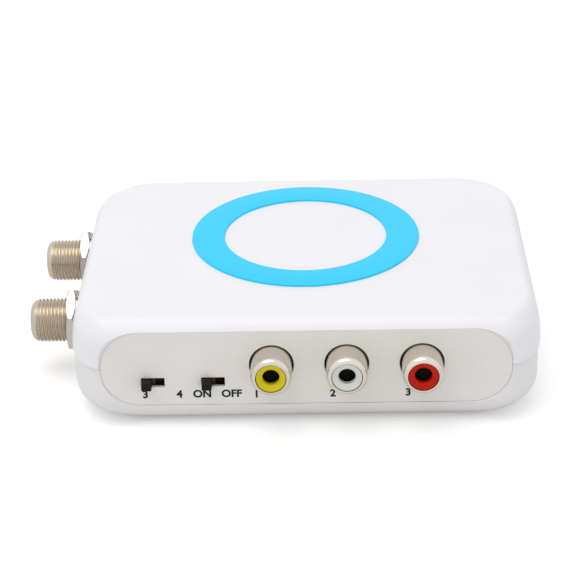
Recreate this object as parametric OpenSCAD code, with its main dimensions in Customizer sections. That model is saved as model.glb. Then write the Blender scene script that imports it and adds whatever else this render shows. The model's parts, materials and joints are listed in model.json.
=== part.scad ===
// Radio-frequency modulator: a small white converter box with a blue ring on its lid.
// Three phono jacks and two slide switches face the front, two threaded aerial sockets
// stand out of the left side, and the power socket is in the back.
// Z is up, the front faces -Y, and the origin is under the middle of the bounding box.

/* [Case] */
// Width of the case from side to side
body_w = 98.5; // [96:0.5:106]
// Depth of the case from front to back
body_d = 73.7; // [72:0.5:84]
// Height of the lid above the surface the feet stand on
body_h = 25; // [25:0.5:30]
// How far in from the side the curve of the two front corners starts, seen from above
corner_front_r = 9; // [8:0.5:10]
// How far back from the front the curve of the two front corners runs
corner_front_l = 13.2; // [12:0.2:14]
// Radius of the two back corners, seen from above
corner_back_r = 15; // [12:0.5:18]
// Thickness of the side walls
wall = 1.8; // [1.5:0.1:2]
// Thickness of the lid's flat top
top_t = 2; // [1.6:0.1:2.2]
// Thickness of the floor
floor_t = 1.8; // [1.5:0.1:2]
// Height of the seam between cover and bottom case
seam_z = 14.2; // [13:0.1:15]

/* [Rounding] */
// How far the sides lean in at the top
side_round_w = 3.55; // [2.5:0.05:4]
// Height over which the sides lean in
side_round_h = 10.56; // [9:0.01:12]
// How far back the top's front roll starts
front_round_w = 6; // [4:0.25:7]
// Height of the top's front roll
front_round_h = 5.6; // [5:0.1:6]
// How far the underside draws in
under_round_w = 7; // [6:0.1:8]
// Height over which the underside draws in
under_round_h = 7; // [6.4:0.1:7.6]
// How much the curve of the front corners grows for each millimetre that the underside draws in
under_soft = 1.94; // [1.5:0.02:2.2]

/* [Front panel] */
// Distance from the case's side to the end of the panel
panel_end = 6.75; // [6.25:0.25:8]
// Height of the opening's lower edge
panel_low_z = 5.35; // [5:0.05:6]
// Distance from the opening's upper edge to the lid's top
panel_top_drop = 2.5; // [2.4:0.05:3]
// Corner radius of the panel
panel_corner_r = 8; // [6:0.25:8.5]
// Thickness of the panel
panel_t = 1.6; // [1.4:0.1:1.8]
// How deep the panel's face lies behind the case front
panel_recess = 1; // [0.8:0.05:1.2]

/* [Ring] */
// Outer diameter of the coloured ring
ring_od = 50; // [44:0.5:52]
// Inner diameter of the coloured ring
ring_id = 35.75; // [30:0.25:40]
// Distance of the ring's centre behind the middle of the case
ring_y = 3.87; // [0:0.1:5]
// Thickness of the ring
ring_t = 1; // [0.9:0.05:1.2]
// How far the ring stands above the lid
ring_proud = 0.4; // [0.3:0.05:0.5]

/* [Phono jacks] */
// Height of the jack axes above the board
rca_rise = 7.8; // [7.4:0.1:8]
// Outer diameter of a jack's metal sleeve
rca_sleeve_d = 8.4; // [8:0.1:8.6]
// Wall of the metal sleeve
rca_sleeve_t = 0.6; // [0.5:0.05:0.7]
// How far a sleeve stands out of the panel
rca_reach = 6.2; // [5.4:0.1:6.8]
// Diameter of the opening in the sleeve's rolled rim
rca_mouth_d = 6.2; // [5.8:0.1:6.6]
// Diameter of the centre socket
rca_socket_d = 3.5; // [3.3:0.1:3.7]
// Diameter of the panel hole around a sleeve
rca_hole_d = 9.24; // [9:0.04:9.6]

/* [Aerial sockets] */
// Thread diameter of an aerial socket
f_thread_d = 9.5; // [9.4:0.05:9.6]
// How far a socket's nose stands out of the case side
f_reach = 10.45; // [9:0.05:12]
// Height of the socket axes above the board
f_rise = 5.45; // [5.3:0.05:5.6]
// Width of the hexagon nut across its flats
nut_af = 12.6; // [12:0.1:13]
// Thickness of the hexagon nut
nut_t = 2; // [1.6:0.1:2.4]
// Thickness of the washer under the nut
washer_t = 0.4; // [0.3:0.05:0.5]

/* [Slide switches] */
// Height of the switch levers above the board
switch_rise = 3.78; // [3.6:0.02:4]
// Length of the slot that a lever slides in
slot_w = 4.9; // [4.4:0.1:5.2]
// Height of the slot
slot_h = 2.2; // [2.1:0.05:2.6]
// Width of a lever
lever_w = 2.05; // [1.8:0.05:2.2]
// How far a lever stands out of the panel
lever_reach = 2; // [1.5:0.1:3]

/* [Power socket] */
// Height of the power socket's axis above the board
dc_rise = 5.3; // [5:0.1:6]
// Diameter of the plug that fits
dc_plug_d = 5.5; // [5.4:0.05:5.6]
// Diameter of the power socket's pin
dc_pin_d = 2; // [1.9:0.05:2.1]

/* [Board] */
// Thickness of the circuit board
board_t = 1.6; // [1.4:0.1:1.8]

/* [Hidden] */
$fn = 64;

// Overrun of every cut past the face it starts from
over = 0.6;
// Clearance between pieces that are pushed together
fit_gap = 0.1;
// Clearance between round pieces that sit in one another
round_gap = 0.05;
// Clearance all round a sliding lever
slide_gap = 0.15;
// Height of the case's underside above the surface
foot_lift = 0.7;
// Rubber foot and the shallow seat it is glued in
foot_r = 4;
foot_seat = 0.3;
foot_shares = [[0.62, 0.66], [-0.62, 0.66], [0.62, -0.66], [-0.62, -0.66]];
// Visible gap of the seam, and how far the cover stands out past the bottom case
seam_gap = 0.3;
seam_step = 0.35;
seam_step_front = 0.7;
// Tongue of the bottom case that locates the cover
tongue_t = 0.9;
tongue_rise = 1.6;
tongue_root = 2.4;
// Facets of one rounded corner, and of one roll of the case
corner_steps = 10;
roll_steps = 8;
// Rim of the panel that hooks behind the opening, below it and at both ends
flange_drop = 1.1;
flange_end = 0.8;
flange_t = 0.8;

// Screws that close the case, from below into posts of the cover
post_r = 3;
post_inset_x = 10.75;
post_inset_front = 10.85;
post_inset_back = 9.25;
boss_r = 3.3;
case_screw_r = 1.3;
case_screw_l = 10;
case_head_r = 2.5;
case_head_t = 1.6;
head_seat = 2;
drive_r = 1.3;
drive_w = 0.5;
drive_depth = 0.9;

// Derived heights and faces. The board lies where its share of the spare height under the lid puts it.
jack_top = 5.4;
jack_l = 11;
board_lift_share = 0.5088;
boss_share = 0.86;
floor_z = foot_lift + floor_t;
ceiling_z = body_h - top_t;
spare_h = ceiling_z - floor_z - board_t - rca_rise - jack_top;
board_z = floor_z + spare_h * board_lift_share;
board_top = board_z + board_t;
boss_z = floor_z + (board_z - floor_z) * boss_share;
front_y = -body_d / 2;
side_z = body_h - side_round_h;
roll_z = body_h - front_round_h;
panel_y = front_y + panel_recess;
panel_back_y = panel_y + panel_t;
jack_front_y = panel_back_y + fit_gap;
panel_top_z = body_h - panel_top_drop;
panel_w = body_w - 2 * panel_end;
panel_r = min(panel_corner_r, (panel_top_z - panel_low_z) / 2 - fit_gap);
post_x = body_w / 2 - post_inset_x;
post_front_y = body_d / 2 - post_inset_front;
post_back_y = body_d / 2 - post_inset_back;
under_in_h = under_round_h - floor_z;
under_in_w = under_round_w * under_in_h / under_round_h;
side_in_h = side_round_h - top_t;
side_in_w = side_round_w * side_in_h / side_round_h;
bottom_top_z = seam_z - seam_gap;

// Origin under the middle of the whole bounding box
nose_x = -body_w / 2 - f_reach;
jack_tip_y = panel_y - rca_reach;
shift_x = -(nose_x + body_w / 2) / 2;
shift_y = -(jack_tip_y + body_d / 2) / 2;

module in_frame() translate([shift_x, shift_y, 0]) children();

function spot(s) = [s[0] * body_w / 2, s[1] * body_d / 2];
function roll(w, h, rise) = rise <= 0 ? 0 : w * (1 - sqrt(max(0, 1 - pow(rise / h, 2))));
function arc(c, rx, ry, a) = [for (i = [0:corner_steps])
  [c[0] + rx * cos(a + 90 * i / corner_steps), c[1] + ry * sin(a + 90 * i / corner_steps)]];

// Plan outline of the case, drawn in by side at the sides and back and by front at the front,
// with the curve of its front corners larger by soft
function outline(side, front, soft = 0) =
  let (hx = body_w / 2 - side, yf = front_y + front, yb = body_d / 2 - side, less = max(side, front) - soft)
  let (rx = max(fit_gap, corner_front_r - less), ry = max(fit_gap, corner_front_l - less))
  let (rb = max(fit_gap, corner_back_r - side))
  concat(arc([hx - rx, yf + ry], rx, ry, -90), arc([hx - rb, yb - rb], rb, rb, 0),
    arc([rb - hx, yb - rb], rb, rb, 90), arc([rx - hx, yf + ry], rx, ry, 180));

// Insets of the underside's roll, outside and inside, at a height
function under(z) = roll(under_round_w, under_round_h, under_round_h - z);
function under_in(z) = roll(under_in_w, under_in_h, under_round_h - z);
// Insets of the cover's skin, and of its hollow, at a height
function skin_side(z) = roll(side_round_w, side_round_h, z - side_z);
function skin_front(z) = roll(front_round_w, front_round_h, z - roll_z);
function hollow_side(z) = wall + roll(side_in_w, side_in_h, z - side_z);

// Solid through stacked rings of points
module loft(rings) {
  n = len(rings[0]);
  m = len(rings);
  points = [for (r = rings) each r];
  sides = [for (j = [0:m - 2]) for (i = [0:n - 1]) each [
    [j * n + i, (j + 1) * n + i, (j + 1) * n + (i + 1) % n],
    [j * n + i, (j + 1) * n + (i + 1) % n, j * n + (i + 1) % n]]];
  polyhedron(points = points, faces = concat(sides, [[for (i = [0:n - 1]) i]],
    [[for (i = [0:n - 1]) (m - 1) * n + n - 1 - i]]), convexity = 4);
}

function ring_at(z, side, front, soft = 0) = [for (p = outline(side, front, soft)) [p[0], p[1], z]];
// Ring of the bottom case at a height, drawn in by its wall and its roll
function low_ring(z, wall_in, roll_in) =
  ring_at(z, wall_in + roll_in + seam_step, wall_in + roll_in + seam_step_front, under_soft * roll_in);

// Heights of the cover's skin, of its hollow, and of the bottom's skin and hollow
function arc_heights(z0, h, a0, a1) = [for (i = [0:roll_steps])
  z0 + h * sin(a0 + (a1 - a0) * i / roll_steps)];
cover_zs = concat([seam_z], arc_heights(roll_z, front_round_h, 0, 90));
cover_in_zs = arc_heights(seam_z - over, ceiling_z - seam_z + over, 0, 90);
under_a = asin((under_round_h - foot_lift) / under_round_h);
bottom_zs = concat(arc_heights(under_round_h, under_round_h, -under_a, 0), [bottom_top_z]);
bottom_in_zs = concat(arc_heights(under_round_h, under_in_h, -90, 0), [seam_z + over]);

post_spots = [[post_x, -post_front_y], [-post_x, -post_front_y], [post_x, post_back_y], [-post_x, post_back_y]];

// Shape of the panel opening, from its middle line outwards by grow, along Y from y0 to y1
module panel_shape(grow, y0, y1, w = panel_w) {
  h = panel_top_z - panel_low_z + 2 * grow;
  r = panel_r + grow;
  translate([0, y1, panel_low_z - grow])
    rotate([90, 0, 0])
      linear_extrude(y1 - y0)
        union() {
          translate([r - w / 2 - grow, 0]) square([w + 2 * grow - 2 * r, h]);
          translate([-w / 2 - grow, r]) square([w + 2 * grow, h - 2 * r]);
          for (x = [r - w / 2 - grow, w / 2 + grow - r], z = [r, h - r])
            translate([x, z]) circle(r);
        }
}

// Rim of the panel, larger than it by grow and reaching to y1
module panel_rim(grow, y1) translate([0, 0, -flange_drop])
  panel_shape(grow, panel_back_y - flange_t - max(grow, 0), y1, panel_w + 2 * flange_end);

// Cutter of the opening, which flares forwards from the panel's face through the case's front
flare_steps = 32;
module panel_flare() hull($fn = flare_steps) {
  panel_shape(0, panel_y - fit_gap, panel_y, $fn = flare_steps);
  panel_shape(panel_recess + over, front_y - over - fit_gap, front_y - over, $fn = flare_steps);
}

// Aerial sockets along -X: place of each, and a cylinder along X from x0 to x1
f_z = board_top + f_rise;
f_front_share = -0.1465;
f_from_post = 9.05;
f_spots = [f_front_share * body_d, post_back_y - f_from_post];
f_shoulder_r = 5.45;
module along_x(x0, x1, r1, r2) translate([x0, 0, 0]) rotate([0, 90, 0]) cylinder(h = x1 - x0, r1 = r1, r2 = r2);
module along_y(y0, y1, r1, r2) translate([0, y0, 0]) rotate([-90, 0, 0]) cylinder(h = y1 - y0, r1 = r1, r2 = r2);

// Holes through both halves of the case: aerial sockets at the left, power socket at the back
dc_collar_r = 4.1;
dc_from_post = 9.5;
dc_x = post_x - dc_from_post;
dc_z = board_top + dc_rise;
f_hole_gap = 0.2;
module side_holes() {
  for (y = f_spots) translate([0, y, f_z]) {
    along_x(-body_w / 2 - over, -body_w / 2 + wall + over, f_thread_d / 2 + f_hole_gap, f_thread_d / 2 + f_hole_gap);
    along_x(-body_w / 2 + wall, can_left_x, f_shoulder_r + f_hole_gap, f_shoulder_r + f_hole_gap);
  }
  translate([dc_x, 0, dc_z])
    along_y(body_d / 2 - wall - tongue_root - over, body_d / 2 + over, dc_collar_r + f_hole_gap, dc_collar_r + f_hole_gap);
  translate([dc_x - dc_w / 2 - f_hole_gap, dc_front_y - dc_l, board_top - fit_gap])
    cube([dc_w + 2 * f_hole_gap, dc_l + fit_gap, dc_h + 2 * f_hole_gap]);
}

module top_cover() in_frame() color("whitesmoke") difference() {
  union() {
    difference() {
      loft([for (z = cover_zs) ring_at(z, skin_side(z), skin_front(z))]);
      loft([for (z = cover_in_zs) ring_at(z, hollow_side(z), wall)]);
    }
    for (p = post_spots) translate([p[0], p[1], boss_z + fit_gap])
      cylinder(h = ceiling_z + over - boss_z - fit_gap, r = post_r);
  }
  panel_flare();
  panel_shape(0, panel_y - over, panel_back_y + over);
  panel_rim(fit_gap, panel_back_y + over);
  side_holes();
  translate([0, ring_y, body_h + ring_proud - ring_t]) difference() {
    cylinder(h = ring_t + over, r = ring_od / 2 + fit_gap);
    translate([0, 0, -over]) cylinder(h = ring_t + 3 * over, r = ring_id / 2 - fit_gap);
  }
  for (p = post_spots) translate([p[0], p[1], boss_z - over])
    cylinder(h = case_screw_l + over, r = case_screw_r + round_gap);
}

module bottom_case() in_frame() color("whitesmoke") difference() {
  union() {
    difference() {
      loft([for (z = bottom_zs) low_ring(z, 0, under(z))]);
      loft([for (z = bottom_in_zs) low_ring(z, wall, under_in(z))]);
    }
    tongue_in = wall + slide_gap;
    difference() {
      translate([0, 0, seam_z - tongue_root])
        linear_extrude(tongue_root + tongue_rise) polygon(outline(tongue_in, tongue_in));
      translate([0, 0, seam_z - tongue_root - over])
        linear_extrude(tongue_root + tongue_rise + 2 * over)
          polygon(outline(tongue_in + tongue_t, tongue_in + tongue_t));
      for (p = post_spots) translate([p[0], p[1], seam_z - tongue_root - over])
        cylinder(h = tongue_root + tongue_rise + 2 * over, r = post_r + f_hole_gap);
    }
    for (p = post_spots) translate([p[0], p[1], foot_lift + floor_t / 2])
      cylinder(h = boss_z - foot_lift - floor_t / 2, r = boss_r);
    for (p = board_screw_spots) translate([p[0], p[1], foot_lift + floor_t / 2])
      cylinder(h = board_z - foot_lift - floor_t / 2, r = standoff_r);
  }
  panel_shape(0, front_y - over, panel_back_y + over);
  panel_rim(fit_gap, panel_back_y + 2 * wall);
  side_holes();
  for (p = post_spots) translate([p[0], p[1], foot_lift - over]) {
    cylinder(h = head_seat + over, r = case_head_r + f_hole_gap);
    cylinder(h = boss_z - foot_lift + 2 * over, r = case_screw_r + f_hole_gap);
  }
  for (p = board_screw_spots) translate([p[0], p[1], board_z - board_screw_l])
    cylinder(h = board_screw_l + over, r = board_screw_r + round_gap);
  for (s = foot_shares) translate([spot(s)[0], spot(s)[1], foot_lift - over])
    cylinder(h = foot_seat + over, r = foot_r + f_hole_gap);
}

// Round hole of each jack and slot of each switch go through the panel,
// which is hollowed behind each slot for the switch to sit close to its face
slot_wall = 0.8;
frame_w = 8.6;
frame_h = 2 * switch_rise;
frame_y = panel_y + slot_wall + fit_gap;
rca_shares = [-0.0835, 0.0988, 0.2812];
switch_shares = [-0.373, -0.2265];
rca_spots = [for (s = rca_shares) s * panel_w];
switch_spots = [for (s = switch_shares) s * panel_w];
rca_z = board_top + rca_rise;
switch_z = board_top + switch_rise;
module front_panel() in_frame() color([0.84, 0.83, 0.82]) difference() {
  union() {
    panel_shape(-fit_gap, panel_y, panel_back_y);
    panel_rim(0, panel_back_y);
  }
  for (x = rca_spots) translate([x, 0, rca_z])
    along_y(panel_y - over, panel_back_y + over, rca_hole_d / 2, rca_hole_d / 2);
  for (x = switch_spots)
    translate([x - slot_w / 2, panel_y - over, switch_z - slot_h / 2])
      cube([slot_w, panel_t + 2 * over, slot_h]);
  for (x = switch_spots)
    translate([x - frame_w / 2 - fit_gap, panel_y + slot_wall, switch_z - frame_h / 2 - fit_gap])
      cube([frame_w + 2 * fit_gap, panel_t + over, frame_h + 2 * fit_gap]);
}

// Coloured ring with a soft roll on both upper edges
ring_roll = 0.35;
roll_angles = [0, 22.5, 45, 67.5, 90];
module accent_ring() in_frame() color([0.28, 0.81, 1])
  translate([0, ring_y, body_h + ring_proud - ring_t])
    rotate_extrude($fn = 96)
      polygon(concat([[ring_id / 2, 0], [ring_od / 2, 0]],
        [for (a = roll_angles) [ring_od / 2 - ring_roll * (1 - cos(a)), ring_t - ring_roll * (1 - sin(a))]],
        [for (a = roll_angles) [ring_id / 2 + ring_roll * (1 - sin(a)), ring_t - ring_roll * (1 - cos(a))]]));

module case_screws() in_frame() color("silver")
  for (p = post_spots) translate([p[0], p[1], foot_lift + head_seat]) difference() {
    union() {
      translate([0, 0, -case_head_t]) cylinder(h = case_head_t, r = case_head_r);
      cylinder(h = case_screw_l, r = case_screw_r);
    }
    for (a = [0, 90]) rotate([0, 0, a]) translate([-drive_r, -drive_w / 2, -case_head_t - over])
      cube([2 * drive_r, drive_w, drive_depth + over]);
  }

module rubber_feet() in_frame() color([0.15, 0.15, 0.15])
  for (s = foot_shares) translate([spot(s)[0], spot(s)[1], 0])
    rotate_extrude() polygon([[0, 0], [foot_r - foot_seat, 0], [foot_r, foot_seat],
      [foot_r, foot_lift + foot_seat], [0, foot_lift + foot_seat]]);

// Board screws stand in the floor's standoffs, one of them just behind the jacks
board_screw_shares = [[0.77, -0.38], [0.32, 0.76]];
jack_screw_share = -0.2;
jack_screw_gap = 3.65;
board_screw_spots = concat([for (s = board_screw_shares) spot(s)],
  [[jack_screw_share * body_w / 2, jack_front_y + jack_l + jack_screw_gap]]);
standoff_r = 2.6;
board_screw_r = 1.1;
board_screw_bite = 0.3;
board_screw_l = board_z - floor_z + board_screw_bite;
board_head_r = 2.1;
board_head_t = 1.5;
board_inset = 3.2;
board_screw_gap = 0.2;
module main_board() in_frame() color([0.12, 0.36, 0.2]) translate([0, 0, board_z]) difference() {
  linear_extrude(board_t) intersection() {
    polygon(outline(board_inset, board_inset));
    translate([can_left_x - fit_gap, -body_d / 2]) square([body_w, body_d]);
  }
  for (p = post_spots) translate([p[0], p[1], -over]) cylinder(h = board_t + 2 * over, r = post_r + 2 * f_hole_gap);
  for (p = board_screw_spots) translate([p[0], p[1], -over])
    cylinder(h = board_t + 2 * over, r = board_screw_r + board_screw_gap);
}

module board_screws() in_frame() color("silver")
  for (p = board_screw_spots) translate([p[0], p[1], board_top]) difference() {
    union() {
      cylinder(h = board_head_t, r1 = board_head_r, r2 = board_head_r - drive_w / 2);
      translate([0, 0, -board_t - board_screw_l + over]) cylinder(h = board_t + board_screw_l - over, r = board_screw_r);
    }
    for (a = [0, 90]) rotate([0, 0, a]) translate([-drive_r, -drive_w / 2, board_head_t - drive_depth])
      cube([2 * drive_r, drive_w, drive_depth + over]);
  }

// Screening can of the radio stage, which carries both aerial sockets
can_gap = 4.15;
can_left_x = -body_w / 2 + wall + can_gap;
can_l = 29.3;
can_t = 0.4;
can_margin = 5.3;
can_headroom = 2.5;
can_w = f_spots[1] - f_spots[0] + 2 * can_margin;
can_h = ceiling_z - board_top - can_headroom;
can_front_y = f_spots[0] - can_margin;
f_stub_r = 3.6;
module rf_can() in_frame() color([0.75, 0.75, 0.72]) difference() {
  translate([can_left_x, can_front_y, board_top]) difference() {
    cube([can_l, can_w, can_h]);
    translate([can_t, can_t, -over]) cube([can_l - 2 * can_t, can_w - 2 * can_t, can_h + 2 * over]);
  }
  for (y = f_spots) translate([0, y, f_z])
    along_x(can_left_x - over, can_left_x + can_t + over, f_stub_r + round_gap, f_stub_r + round_gap);
}

// Lid with a skirt that grips the can, and two trimming holes
skirt_h = 2;
trim_r = 1.6;
coil_shares = [0.25, 0.62];
coil_in = 8;
module rf_can_lid() in_frame() color([0.78, 0.78, 0.75]) difference() {
  translate([can_left_x - can_t - round_gap, can_front_y - can_t - round_gap, board_top + can_h - skirt_h])
    cube([can_l + 2 * can_t + 2 * round_gap, can_w + 2 * can_t + 2 * round_gap, skirt_h + can_t]);
  translate([can_left_x - round_gap, can_front_y - round_gap, board_top + can_h - skirt_h - over])
    cube([can_l + 2 * round_gap, can_w + 2 * round_gap, skirt_h + over]);
  for (s = coil_shares) translate([can_left_x + can_l - coil_in, can_front_y + can_w * s, board_top + can_h - over])
    cylinder(h = can_t + 2 * over, r = trim_r);
}

// Two tunable coils in square cans with a slotted core, seen through the trimming holes
coil_w = 7;
coil_h = 9;
slug_r = 1.5;
module tuning_coils() in_frame() color([0.7, 0.7, 0.68])
  for (s = coil_shares) translate([can_left_x + can_l - coil_in, can_front_y + can_w * s, board_top]) difference() {
    translate([-coil_w / 2, -coil_w / 2, 0]) cube([coil_w, coil_w, coil_h]);
    translate([0, 0, coil_h - drive_depth]) cylinder(h = drive_depth + over, r = slug_r);
  }

// Chip in a flat case with a row of legs on each side
leg_t = 0.4;
leg_w = 0.6;
leg_pitch = 2.54;
module chip(l, w, h, seat, count) {
  translate([-l / 2, -w / 2, seat]) cube([l, w, h]);
  for (i = [0:count - 1], k = [-1, 1])
    translate([(i - (count - 1) / 2) * leg_pitch - leg_w / 2, k * (w / 2 + leg_t / 2) - leg_t / 2, 0])
      cube([leg_w, leg_t, seat + h / 2]);
}
chip_w = 6.4;
chip_h = 3.3;
chip_seat = 0.6;
rf_chip_l = 19.3;
rf_chip_in = 9.5;
module modulator_ic() in_frame() color([0.1, 0.1, 0.1])
  translate([can_left_x + rf_chip_in, can_front_y + can_w / 2, board_top]) rotate([0, 0, 90])
    chip(rf_chip_l, chip_w, chip_h, chip_seat, 7);

crystal_l = 11;
crystal_w = 4.6;
crystal_h = 3.6;
crystal_share = 0.9;
module crystal() in_frame() color([0.8, 0.8, 0.78])
  translate([can_left_x + can_l - coil_in, can_front_y + can_w * crystal_share - crystal_w / 4, board_top])
    union() {
      translate([-(crystal_l - crystal_w) / 2, -crystal_w / 2, 0]) cube([crystal_l - crystal_w, crystal_w, crystal_h]);
      for (k = [-1, 1]) translate([k * (crystal_l - crystal_w) / 2, 0, 0]) cylinder(h = crystal_h, r = crystal_w / 2);
    }

// Threaded barrel, turned from nose to crimp stub, with a wide round nose
f_tip = 2.4;
f_tip_in = 1.85;
tip_angles = [0, 18, 36, 54, 72, 90];
f_bore_r = 2.5;
f_stub_l = 1.2;
f_thread_r = f_thread_d / 2;
f_relief = 0.2;
f_root_r = f_thread_r - f_relief;
f_wall_x = -body_w / 2 + wall + fit_gap;
module f_barrel(y) in_frame() color([0.86, 0.85, 0.82]) translate([0, y, f_z]) difference() {
  union() {
    translate([nose_x, 0, 0]) rotate([0, 90, 0]) rotate_extrude()
      polygon(concat([[0, 0]], [for (a = tip_angles)
        [f_thread_r - f_tip_in * (1 - sin(a)), f_tip * (1 - cos(a))]], [[0, f_tip]]));
    along_x(nose_x + f_tip, nut_x, f_thread_r, f_thread_r);
    along_x(nut_x, f_wall_x, f_root_r, f_root_r);
    along_x(f_wall_x, can_left_x, f_shoulder_r, f_shoulder_r);
    along_x(can_left_x, can_left_x + f_stub_l, f_stub_r, f_stub_r);
  }
  along_x(nose_x - over, can_left_x + f_stub_l + over, f_bore_r, f_bore_r);
}
module rf_barrel_front() f_barrel(f_spots[0]);
module rf_barrel_back() f_barrel(f_spots[1]);

// Hexagon nut with both faces chamfered, and the washer under it
nut_x = -body_w / 2 - washer_t - nut_t;
nut_chamfer = 0.6;
module f_nut(y) in_frame() color([0.83, 0.82, 0.8]) translate([nut_x, y, f_z]) difference() {
  intersection() {
    rotate([0, 90, 0]) cylinder(h = nut_t, r = nut_af / sqrt(3), $fn = 6);
    union() {
      along_x(0, nut_chamfer, nut_af / 2, nut_af / sqrt(3));
      along_x(nut_chamfer, nut_t - nut_chamfer, nut_af / sqrt(3), nut_af / sqrt(3));
      along_x(nut_t - nut_chamfer, nut_t, nut_af / sqrt(3), nut_af / 2);
    }
  }
  along_x(-over, nut_t + over, f_root_r + round_gap, f_root_r + round_gap);
}
module rf_nut_front() f_nut(f_spots[0]);
module rf_nut_back() f_nut(f_spots[1]);

washer_r = nut_af / 2 - fit_gap;
tooth_count = 12;
tooth_w = 0.8;
tooth_l = 0.7;
module f_washer(y) in_frame() color([0.8, 0.8, 0.78]) translate([-body_w / 2 - washer_t, y, f_z]) difference() {
  along_x(0, washer_t, washer_r, washer_r);
  along_x(-over, washer_t + over, f_root_r + round_gap, f_root_r + round_gap);
  for (i = [0:tooth_count - 1]) rotate([i * 360 / tooth_count, 0, 0])
    translate([-over, washer_r - tooth_l, -tooth_w / 2]) cube([washer_t + 2 * over, tooth_l + over, tooth_w]);
}
module rf_washer_front() f_washer(f_spots[0]);
module rf_washer_back() f_washer(f_spots[1]);

// White core of an aerial socket, open for the cable's centre wire, and its spring contact
f_core_in = 0.3;
f_lead_r = 1.3;
f_lead_l = 0.8;
f_wire_r = 0.75;
f_contact_r = 1.1;
f_contact_bore_r = 0.55;
f_contact_in = 1.6;
f_contact_out = 2.2;
module f_insulator(y) in_frame() color([0.93, 0.92, 0.88]) translate([0, y, f_z]) difference() {
  along_x(nose_x + f_core_in, can_left_x + f_stub_l, f_bore_r - round_gap, f_bore_r - round_gap);
  along_x(nose_x + f_core_in - over, nose_x + f_core_in, f_lead_r, f_lead_r);
  along_x(nose_x + f_core_in, nose_x + f_core_in + f_lead_l, f_lead_r, f_wire_r);
  along_x(nose_x + f_core_in, can_left_x, f_wire_r, f_wire_r);
  along_x(nose_x + f_contact_in, can_left_x + f_stub_l + over, f_contact_r + round_gap, f_contact_r + round_gap);
}
module rf_insulator_front() f_insulator(f_spots[0]);
module rf_insulator_back() f_insulator(f_spots[1]);

module f_contact(y) in_frame() color([0.85, 0.7, 0.35]) translate([0, y, f_z]) difference() {
  along_x(nose_x + f_contact_in + fit_gap, can_left_x + f_stub_l + f_contact_out, f_contact_r, f_contact_r);
  along_x(nose_x + f_contact_in - over, can_left_x, f_contact_bore_r, f_contact_bore_r);
}
module rf_contact_front() f_contact(f_spots[0]);
module rf_contact_back() f_contact(f_spots[1]);

// Moulded body of a phono jack: a wide front plate and a narrower back block on the board
jack_w = 10.6;
jack_plate_t = 3;
jack_step = 0.8;
sleeve_in = 6;
sleeve_step = 0.2;
rca_r = rca_sleeve_d / 2;
rca_root_r = rca_r - sleeve_step;
module rca_housing(x) in_frame() color([0.12, 0.12, 0.12]) translate([x, jack_front_y, rca_z]) difference() {
  union() {
    translate([-jack_w / 2, 0, -rca_rise]) cube([jack_w, jack_plate_t, rca_rise + jack_top]);
    translate([-jack_w / 2 + jack_step, 0, -rca_rise])
      cube([jack_w - 2 * jack_step, jack_l, rca_rise + jack_top - jack_step]);
  }
  along_y(-over, sleeve_in, rca_root_r + round_gap, rca_root_r + round_gap);
  along_y(sleeve_in - over, sleeve_in + contact_tail, contact_r + round_gap, contact_r + round_gap);
}
module rca_housing_video() rca_housing(rca_spots[0]);
module rca_housing_left() rca_housing(rca_spots[1]);
module rca_housing_right() rca_housing(rca_spots[2]);

// Metal sleeve with its rim rolled in over the coloured core
rim_l = 1.1;
rim_lip = 0.5;
rim_angles = [0, 15, 30, 45, 60, 75, 90];
module rca_sleeve(x) in_frame() color([0.86, 0.84, 0.8]) translate([x, jack_tip_y, rca_z])
  rotate([-90, 0, 0]) rotate_extrude()
    polygon(concat([[rca_mouth_d / 2, rim_lip]],
      [for (a = rim_angles) [rca_mouth_d / 2 + rim_roll_in * sin(a), rim_l - rim_l * cos(a)]],
      [[rca_r, rca_reach], [rca_root_r, rca_reach],
       [rca_root_r, jack_front_y + sleeve_in - jack_tip_y], [rca_r - rca_sleeve_t, jack_front_y + sleeve_in - jack_tip_y],
       [rca_r - rca_sleeve_t, rim_l]]));
rim_roll_in = rca_r - rca_mouth_d / 2;
module rca_sleeve_video() rca_sleeve(rca_spots[0]);
module rca_sleeve_left() rca_sleeve(rca_spots[1]);
module rca_sleeve_right() rca_sleeve(rca_spots[2]);

// Coloured core with a funnel that leads into the centre socket
funnel_l = 0.6;
funnel_r = 2.8;
core_in = 0.1;
contact_r = 2.1;
contact_bore_r = 1.62;
contact_in = 1.7;
contact_tail = 2.5;
socket_r = rca_socket_d / 2;
core_r = rca_r - rca_sleeve_t - round_gap;
core_nose_r = rca_mouth_d / 2 - round_gap;
core_face = jack_tip_y + core_in;
module rca_insulator(x) in_frame() translate([x, 0, rca_z]) difference() {
  union() {
    along_y(core_face, jack_tip_y + rim_l + over, core_nose_r, core_nose_r);
    along_y(jack_tip_y + rim_l, jack_front_y + sleeve_in, core_r, core_r);
  }
  along_y(core_face - over, core_face + contact_in, socket_r, socket_r);
  along_y(core_face, core_face + funnel_l, funnel_r, socket_r);
  along_y(core_face - over, core_face, funnel_r, funnel_r);
  along_y(core_face + contact_in, jack_front_y + sleeve_in + over, contact_r + round_gap, contact_r + round_gap);
}
module rca_insulator_video() color([0.8, 0.7, 0.13]) rca_insulator(rca_spots[0]);
module rca_insulator_left() color([0.93, 0.93, 0.92]) rca_insulator(rca_spots[1]);
module rca_insulator_right() color([0.75, 0.12, 0.08]) rca_insulator(rca_spots[2]);

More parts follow.
